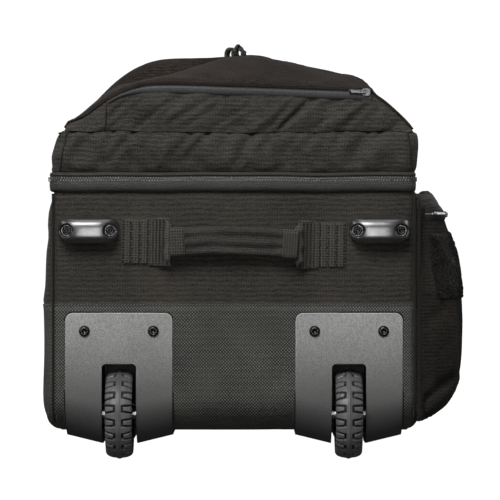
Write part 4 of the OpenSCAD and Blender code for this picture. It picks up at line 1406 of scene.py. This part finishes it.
def make_patch(rows, put):
    """Loop patch round the side pocket's near corner, with a sewn border."""
    heights, finer = spread(145.5, 208, 60), 5
    lane = [row for row in rows if row[1] > 0.4 and row[0] < span("loop_patch")[1].y]
    lane = [tuple(p + (q - p) * k / finer for p, q in zip(a, b))
            for a, b in zip(lane, lane[1:]) for k in range(finer)]
    chance = random.Random(5)
    verts = []
    for i, (y, out) in enumerate(lane):
        for j, z in enumerate(heights):
            edge = min(i, len(lane) - 1 - i, j, len(heights) - 1 - j)
            proud = (0.2, 1.4, 1.6)[min(edge, 2)] + (chance.uniform(-0.2, 0.7) if edge > 1 else 0)
            verts.append(side_point(y, out, OUTER_X(-z), z, proud))
    faces = turned(grid_faces(len(lane), len(heights)))
    patch = piece("loop_patch_pile", verts, faces, "loop_pile", "shell", put=put)
    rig.replaces(patch, "loop_patch")


# ---------------------------------------------------------------- carry handles


def handle_frame(kind):
    """Turns a carry handle's own millimetres (panel at y = 0, outwards -y) into the row's metres."""
    middle = GRIP_MIDDLE[kind]
    if kind == "base":
        return Matrix.Translation((middle.x, 0, middle.z)) @ Matrix.Rotation(0.018, 4, "Y")
    if kind == "top":
        return Matrix.Translation((middle.x, LENGTH, middle.z)) @ Matrix.Rotation(math.pi, 4, "Z")
    return Matrix.Translation((-HALF_W, middle.y, middle.z)) @ Matrix.Rotation(-math.pi / 2, 4, "Z")


WEB_HALF = 21.5
PIVOT_Y = 3.5
GRIP_OUT = 13.6


def make_carry_handle(kind):
    matrix, body = handle_frame(kind), f"{kind}_handle"
    lift = 0.8 if kind == "base" else 2.0

    def put(point):
        return place(matrix @ Vector(point))

    for s, tag in ((-1, "a"), (1, "b")):
        make_anchor(kind, s, tag, lift, put)
        make_pleats(kind, s, tag, lift, body, put)
        make_pinch(kind, s, tag, body, put)
    make_grip(kind, body, put)


def facing(faces, s):
    """Grid faces turned outwards on either half of a handle."""
    return turned(faces) if s > 0 else faces


def make_anchor(kind, s, tag, lift, put):
    """Webbing sewn flat on its panel, quilted by its stitches."""
    xs, zs = spread(78, 105, 40), spread(-WEB_HALF, WEB_HALF, 50)
    verts, laid = [], []
    for x in xs:
        for z in zs:
            edge = min(105 - x, WEB_HALF - abs(z)) / 1.6
            quilt = 1.1 * max(math.exp(-((x - column) / 1.3) ** 2) for column in (79.5, 87, 95.5, 103))
            verts.append((s * x, -lift - 2.3 * min(1, max(edge, 0)) ** 0.5 + quilt * min(1, max(edge, 0)), z))
            laid.append((z, x))
    faces = facing(grid_faces(len(xs), len(zs)), s)
    flat = piece(f"{kind}_anchor_{tag}", verts, faces, "webbing", "shell", cloth=laid, put=put)
    if kind == "base" and s < 0:
        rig.replaces(flat, "carry_anchors")
    columns = []
    for x, wide in ((79.5, 0.8), (87, 1.6), (95, 1.2), (103, 0)):
        columns.append([(s * (x + wide * (k % 2)), -lift - 1.5, -20 + 40 * k / 18) for k in range(19)])
    stitches(f"{kind}_stitches_{tag}", columns, (0, -1, 0), "shell", 3.4, put=put)


def make_pleats(kind, s, tag, lift, body, put):
    """Webbing gathered into upright pleats, which twist from the fixed anchor to the swinging grip."""
    xs, zs = spread(60.5, 79, 60), spread(-WEB_HALF, WEB_HALF, 24)
    verts, laid = [], []
    for x in xs:
        t = (79 - x) / 18.5
        ridge = (0.5 + 0.5 * math.cos(2 * math.pi * (x - 65.1) / 3.3)) ** 2.5
        for z in zs:
            hem = 1 - (abs(z) / WEB_HALF) ** 8
            out = lift + 2.4 + 6.0 * ease((t - 0.2) / 0.8) - 5.6 * ridge * ease(t * 1.8) * (0.3 + 0.7 * hem)
            verts.append((s * x, -out - 0.3 * fold(x * 3, z, 0, 12), z * (1 - 0.015 * math.sin(2 * x))))
            laid.append((z, x))
    faces = facing(grid_faces(len(xs), len(zs)), s)
    strap = piece(f"{kind}_pleats_{tag}", verts, faces, "webbing", None, cloth=laid, put=put)
    solid = strap.modifiers.new("thickness", "SOLIDIFY")
    solid.thickness = 1.4 * MM
    solid.offset = -1
    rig.blend(strap, "shell", body, put((s * 78, -PIVOT_Y, 0)), put((s * 62, -PIVOT_Y, 0)))


def make_pinch(kind, s, tag, body, put):
    """The webbing pinched round the grip's end, with a point at its lower edge."""
    zs = spread(-1, 1, 40)
    profile = [(63.4, 7.5), (63.0, 11.0), (61.9, 13.6), (60.4, 14.6), (58.9, 13.8), (57.9, 11.4), (57.2, 6.5)]
    verts, laid = [], []
    for x, out in profile:
        for v in zs:
            z = v * (WEB_HALF - 0.5) - 0.6
            tip = ease((abs(v) - 0.68) / 0.32)
            middle = 60.6 + (1.6 if v < 0 else 0.6) * tip * (-1 if v < 0 else 1)
            wide = 1.25 * (1 - 0.75 * tip) + 0.25 * math.sin(9 * v + s)
            stand = 6.5 + (out - 6.5) * (1 - 0.25 * tip) + 0.5 * fold(x, z, s, 7, 3)
            verts.append((s * (middle + (x - 60.4) * wide), -stand, z))
            laid.append((z, x * 1.5 + out))
    faces = facing(grid_faces(len(profile), len(zs)), s)
    piece(f"{kind}_pinch_{tag}", verts, faces, "webbing", body, cloth=laid, put=put)
    path = [(s * x, -GRIP_OUT + 0.4, 0.2 + 0.05 * (58 - x)) for x in spread(45.5, 59.5, 8)]
    sweep(f"{kind}_collar_{tag}", path, rounded_ring(11.6, 27.0, 3.4), "webbing", body, put=put)


def make_grip(kind, body, put):
    """Padded grip: a soft tube with long folds."""
    xs, count = spread(-50, 50, 61), 44
    verts, laid = [], []
    for x in xs:
        arch = 0.6 + 2.0 * (1 - (x / 50) ** 2)
        for k in range(count):
            angle = 2 * math.pi * k / count
            c, d = math.cos(angle), math.sin(angle)
            height = 13.2 * math.copysign(abs(d) ** 0.85, d)
            line = height + 1.2 * fold(x, 0, 0, 30, 4)
            folds = 0.9 * math.cos(line * 0.62 + 0.7)
            folds += 0.8 * fold(x * 0.25, height, 0, 6, 5) + 0.4 * fold(x, height, 0, 9, 8)
            depth = 4.2 * math.copysign(abs(c) ** 0.75, c) * (1 + 0.36 * folds)
            verts.append((x, -GRIP_OUT + depth, height * (1 + 0.03 * folds) + arch))
            laid.append((x, height * 1.4))
    faces = grid_faces(len(xs), count, wrap_columns=True)
    faces += [tuple(reversed(range(count))), tuple(range((len(xs) - 1) * count, len(xs) * count))]
    grip = piece(f"{kind}_grip", verts, faces, "grip_cloth", body, "webbing", cloth=laid, put=put)
    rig.padded(grip, 0.6)
    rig.replaces(grip, f"{kind}_carry_grip")


# ---------------------------------------------------------------- wheels and hard parts


LUGS = 19
SCREW_DX, BACK_SCREW_Y, FOOT_SCREW_DX = 32.0, 95.0, 20.2
HEAD_R = 5.25


def tread_depth(angle, s):
    """Groove depth from 0 to 1: a C-shaped groove, open outwards, round each of the side blocks."""
    turn = (math.degrees(angle) % (360 / LUGS)) - 180 / LUGS
    arc, side = abs(math.radians(turn)) * WHEEL_R, abs(s)
    half = 2.5 + 1.5 * min(max((side - 3.6) / 9, 0), 1)
    flank = 1 - abs(arc - half) / 1.15 if side > 3.0 else 0
    inner = 1 - abs(side - 3.7) / 1.15 if arc < half + 0.5 else 0
    return min(max(flank, inner, 0) * 1.8, 1)


def make_tyre(tag):
    low, high = span(f"tyre_{tag}")
    cx, half = (low.x + high.x) / 2, (high.x - low.x) / 2
    flank = [(1.5, 0.6), (7, 1.7), (half - 1.6, 3.4), (half, 5.4)]
    profile = curve([(-x, WHEEL_R - drop) for x, drop in reversed(flank)] + [(0, WHEEL_R)]
                    + [(x, WHEEL_R - drop) for x, drop in flank])
    across = [-half, -half + 0.5] + spread(-half + 1.1, half - 1.1, 47) + [half - 0.5, half]
    inside = [(half - 0.2, WHEEL_R - 9), (half - 1.6, 29), (11, 27.1)]
    steps = LUGS * 24
    verts, laid = [], []
    for i in range(steps):
        angle = 2 * math.pi * i / steps
        ring = [(-x, r, 0) for x, r in reversed(inside)]
        ring += [(s, profile(s), tread_depth(angle, s)) for s in across]
        ring += [(x, r, 0) for x, r in inside]
        for s, r, groove in ring:
            r -= 2.6 * groove
            verts.append((cx + s, WHEEL_Y - r * math.cos(angle), WHEEL_Z + r * math.sin(angle)))
            # The groove depth rides in the weave attribute, where the rubber is darkened as dust and painted shade.
            laid.append((groove, s))
    columns = len(across) + 2 * len(inside)
    faces = turned(grid_faces(steps, columns, wrap_rows=True))
    tyre = piece(f"tyre_tread_{tag}", verts, faces, "tyre_rubber", f"wheel_{tag}", cloth=laid)
    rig.replaces(tyre, f"tyre_{tag}")


def make_foot(tag):
    """A glossy barrel-shaped foot with a counterbore for each screw."""
    low, high = span(f"foot_{tag}")
    centre, half = (low + high) / 2, (high - low) / 2
    out, pits = -low.y, (-FOOT_SCREW_DX, FOOT_SCREW_DX)
    rings, around = 46, 120

    def depth(u, v):
        level = (v + 0.13) / (1.13 if v > -0.13 else 0.87)
        return -2.5 - (out - 2.5) * (max(0.0, 1 - abs(level) ** 3.8) * max(0.0, 1 - abs(u) ** 3.4)) ** 0.5

    verts, faces = [(centre.x, depth(0, 0), centre.z)], []
    for i in range(1, rings + 1):
        r = (i / rings) ** 0.75
        for k in range(around):
            angle = 2 * math.pi * k / around
            c, d = math.cos(angle), math.sin(angle)
            power = 3.6 if d > 0 else 2.5
            reach = (abs(c) ** power + abs(d) ** power) ** (-1 / power)
            u, v = r * c * reach, r * d * reach
            x, z = half.x * u, half.z * v
            y = depth(u, v) if i < rings else 0.0
            away = min(math.hypot(x - pit, z) for pit in pits)
            y = y + (-6.0 - y) * ease((6.3 - away) / 0.9) if y < -6.0 else y
            verts.append((centre.x + x, y, centre.z + z))
    for k in range(around):
        faces.append((0, 1 + (k + 1) % around, 1 + k))
    faces += grid_faces(rings, around, wrap_columns=True, start=1)
    foot = piece(f"foot_shell_{tag}", verts, turned(faces), "foot_plastic", "shell")
    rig.replaces(foot, f"foot_{tag}")


def make_slider(name, node, body, point, along, out, pull, size=1.0):
    """A zip slider: two stacked wings, a bridge over them and a pull tab hanging from it."""
    x, z = Vector(along).normalized(), Vector(out).normalized()
    y = z.cross(x).normalized()
    point = Vector(point)

    def local(a, b, c):
        return point + (x * a + y * b + z * c) * size

    verts, faces = [], []

    def slab(outline, low, high):
        start, count = len(verts), len(outline)
        for level, shrink in ((low, 0.92), (low + 0.3, 1), (high - 0.3, 1), (high, 0.92)):
            verts.extend(local(a * shrink, b * shrink, level) for a, b in outline)
        faces.extend(grid_faces(4, count, wrap_columns=True, start=start))
        faces.append(tuple(start + k for k in reversed(range(count))))
        faces.append(tuple(start + 3 * count + k for k in range(count)))

    wing = [(-6, -2.6), (-3, -4.6), (2, -5.2), (6, -3.6), (6, 3.6), (2, 5.2), (-3, 4.6), (-6, 2.6)]
    slab(wing, 0, 1.3)
    slab([(a * 0.9, b * 0.8) for a, b in wing], 1.3, 2.4)
    slab([(-3.6, -1.1), (3.6, -1.1), (3.6, 1.1), (-3.6, 1.1)], 3.4, 4.4)
    slab([(-3.8, -1.1), (-2.4, -1.1), (-2.4, 1.1), (-3.8, 1.1)], 2.2, 3.6)
    slab([(2.4, -1.1), (3.8, -1.1), (3.8, 1.1), (2.4, 1.1)], 2.2, 3.6)
    slider = piece(name, [tuple(v) for v in verts], faces, "slider_metal", body, smooth=False)
    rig.replaces(slider, node)
    direction = Vector(pull[0]).normalized()
    length, width = pull[1], pull[2]
    start = point + z * (2.9 * size)
    path = [start + direction * (length * k / 6) for k in range(7)]
    sweep(f"{name}_pull", path, rounded_ring(width, 1.5, 0.7, 3), pull[3], body, up=tuple(z),
          slot="slider_metal")


def make_sliders():
    """The main zip's two sliders and those of the front pockets."""
    for tag in ("near", "far"):
        low, high = span(f"main_slider_{tag}")
        make_slider(f"main_{tag}", f"main_slider_{tag}", f"zip_slider_{tag}",
                    (-HALF_W - 5.6, (low.y + high.y) / 2, ZIP_Z + 0.3), (0, 1, 0), (-1, 0, 0),
                    ((0, 0, -1), 38, 7, "webbing"))
    x = span("lower_pocket_slider")[1].x - 5
    make_slider("pocket_lower", "lower_pocket_slider", "pocket_slider_lower",
                (x, RIM_Y - 4.8, RIM(x) - 2.0), (1, 0, -0.05), (0, -1, 0),
                ((-1, 0, 0.04), 16, 3.5, "slider_metal"), 0.75)
    z = span("upper_pocket_slider")[1].z - 5.5
    make_slider("pocket_upper", "upper_pocket_slider", "pocket_slider_upper",
                (0, span("pocket_zips")[1].y + 1.4, z), (1, 0, 0), (0, 1, 0),
                ((0, 0, -1), 30, 7, "webbing"))


def dress_frame():
    """Gives every CAD node its slot's material and its cloth coordinates."""
    slots = {part["node"]: part["material_slot"] for part in frame["record"]["subparts"]}
    for node, obj in frame["nodes"].items():
        obj.data.materials.clear()
        obj.data.materials.append(MATERIALS[slots[node]])
        lay_weave(obj)


def screw_head(scale=1.0):
    """A button head with a hexagonal socket, standing on z = 0."""
    profile = [(0.42, 1.2), (0.47, 2.75), (0.55, 3.0), (0.68, 2.8), (0.84, 2.1), (0.95, 1.2), (1.0, 0.0)]
    count, verts = 36, [(0, 0, profile[0][1] * scale)]
    for i, (share, height) in enumerate(profile):
        for k in range(count):
            angle = 2 * math.pi * k / count
            hexagon = math.cos(math.pi / 6) / math.cos(angle % (math.pi / 3) - math.pi / 6) if i < 2 else 1
            r = share * HEAD_R * scale * hexagon
            verts.append((r * math.cos(angle), r * math.sin(angle), height * scale))
    faces = [(0, 1 + k, 1 + (k + 1) % count) for k in range(count)]
    faces += turned(grid_faces(len(profile), count, wrap_columns=True, start=1))
    return verts, faces


def turned_by(angle, other):
    """A direction turned that far from x towards y or z, so that no two sockets stand alike."""
    c, d = math.cos(angle), math.sin(angle)
    return (c, d, 0) if other == "y" else (c, 0, d)


def make_screws():
    """Heads of the screws that hold the housings and the feet."""
    base_y, back_z = -3.0, BACK_Z - 3.0
    places = []
    for side in (-1, 1):
        for across in (-SCREW_DX, SCREW_DX):
            x = side * WHEEL_X + across
            places.append(((x, base_y, PLATE_TOP - 17), turned_by(x, "z"), (0, -1, 0)))
            places.append(((x, BACK_SCREW_Y, back_z), turned_by(x, "y"), (0, 0, -1)))
    heads = many("housing_screw_heads", places, screw_head(), "black_screw", "shell", smooth=True)
    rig.replaces(heads, "housing_screws")
    places = []
    for tag in ("left", "right"):
        centre = sum(span(f"foot_{tag}"), Vector()) / 2
        for across in (-FOOT_SCREW_DX, FOOT_SCREW_DX):
            places.append(((centre.x + across, -6.0, centre.z), turned_by(across, "z"), (0, -1, 0)))
    heads = many("foot_screw_heads", places, screw_head(0.85), "black_screw", "shell", smooth=True)
    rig.replaces(heads, "foot_screws")


def soften(node, width):
    """Rounds a CAD node's edges by that many millimetres."""
    bevel = frame["nodes"][node].modifiers.new("edge", "BEVEL")
    bevel.width = width * MM
    bevel.segments = 3
    bevel.limit_method = "ANGLE"
    bevel.angle_limit = math.radians(35)
    bevel.harden_normals = True


# ---------------------------------------------------------------- building


def build_all():
    dress_frame()
    for node in ("wheel_housing_left", "wheel_housing_right"):
        soften(node, 1.2)
    make_tub()
    make_tub_seams()
    make_lining()
    make_main_zip()
    make_lid_gusset()
    make_lid_top()
    make_lid_lining()
    make_hinge_cloth()
    make_lower_pocket()
    make_upper_pocket()
    make_lash_loops()
    make_side_pocket()
    for kind in ("base", "top", "side"):
        make_carry_handle(kind)
    for tag in ("left", "right"):
        make_tyre(tag)
        make_foot(tag)
    make_screws()
    make_sliders()


build_all()


# ---------------------------------------------------------------- studio


def light(name, location, target, size, power, size_y=None):
    data = bpy.data.lights.new(name, "AREA")
    data.shape = "RECTANGLE"
    data.size, data.size_y = size, size_y or size
    data.energy = power
    obj = bpy.data.objects.new(name, data)
    obj.location = location
    obj.rotation_euler = (Vector(target) - Vector(location)).to_track_quat("-Z", "Y").to_euler()
    obj.visible_camera = False
    bpy.context.scene.collection.objects.link(obj)


def make_studio():
    reach, bend, back, rise = 18.0, 6.0, 13.5, 15.0
    profile = [(-reach, 0.0), (bend, 0.0)]
    profile += [(bend + back * math.sin(a), rise * (1 - math.cos(a))) for a in spread(0.08, math.pi / 2, 16)]
    verts = [(x, y, z) for y, z in profile for x in (-reach, reach)]
    mesh = bpy.data.meshes.new("studio_floor")
    mesh.from_pydata(verts, [], grid_faces(len(profile), 2))
    mesh.polygons.foreach_set("use_smooth", [True] * len(mesh.polygons))
    floor = bpy.data.objects.new("studio_floor", mesh)
    bpy.context.scene.collection.objects.link(floor)
    paper = bpy.data.materials.new("studio_paper")
    paper.use_nodes = True
    bsdf = paper.node_tree.nodes["Principled BSDF"]
    bsdf.inputs["Base Color"].default_value = (0.12, 0.12, 0.12, 1)
    bsdf.inputs["Roughness"].default_value = 0.9
    bsdf.inputs["Emission Color"].default_value = (1, 1, 1, 1)
    bsdf.inputs["Emission Strength"].default_value = 1.05
    mesh.materials.append(paper)
    floor.visible_diffuse = False
    floor.visible_glossy = False
    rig.stage(floor)
    target = (0, -0.3, 0.2)
    light("key", (-0.6, -2.5, 2.15), target, 1.4, 70)
    light("front", (-0.1, -3.4, 0.15), target, 0.9, 18, 0.5)
    light("left", (-2.4, -0.9, 1.2), target, 0.8, 7)
    light("top", (0.0, -0.6, 2.5), target, 1.6, 9)
    light("right", (2.8, 0.5, 1.3), (0, 0, 0.2), 1.4, 12)
    light("far", (-0.8, 2.8, 1.4), (0, 0, 0.2), 1.4, 14)
    world = bpy.data.worlds.new("studio_world")
    world.use_nodes = True
    tree = world.node_tree
    ramp = tree.nodes.new("ShaderNodeValToRGB")
    coordinates = tree.nodes.new("ShaderNodeTexCoord")
    split = tree.nodes.new("ShaderNodeSeparateXYZ")
    tree.links.new(coordinates.outputs["Generated"], split.inputs[0])
    tree.links.new(split.outputs[2], ramp.inputs[0])
    ramp.color_ramp.elements[0].color = (0.08, 0.08, 0.08, 1)
    ramp.color_ramp.elements[1].position = 0.5
    ramp.color_ramp.elements[1].color = (0.2, 0.2, 0.2, 1)
    tree.links.new(ramp.outputs[0], tree.nodes["Background"].inputs[0])
    tree.nodes["Background"].inputs[1].default_value = 0.5
    bpy.context.scene.world = world
    bpy.context.scene.view_settings.view_transform = "Standard"


make_studio()

sizes = {"cad": [list(corner) for corner in cad_box], "visual": [list(corner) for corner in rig.bounds()]}
with open("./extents.json", "w") as out:
    json.dump(sizes, out)
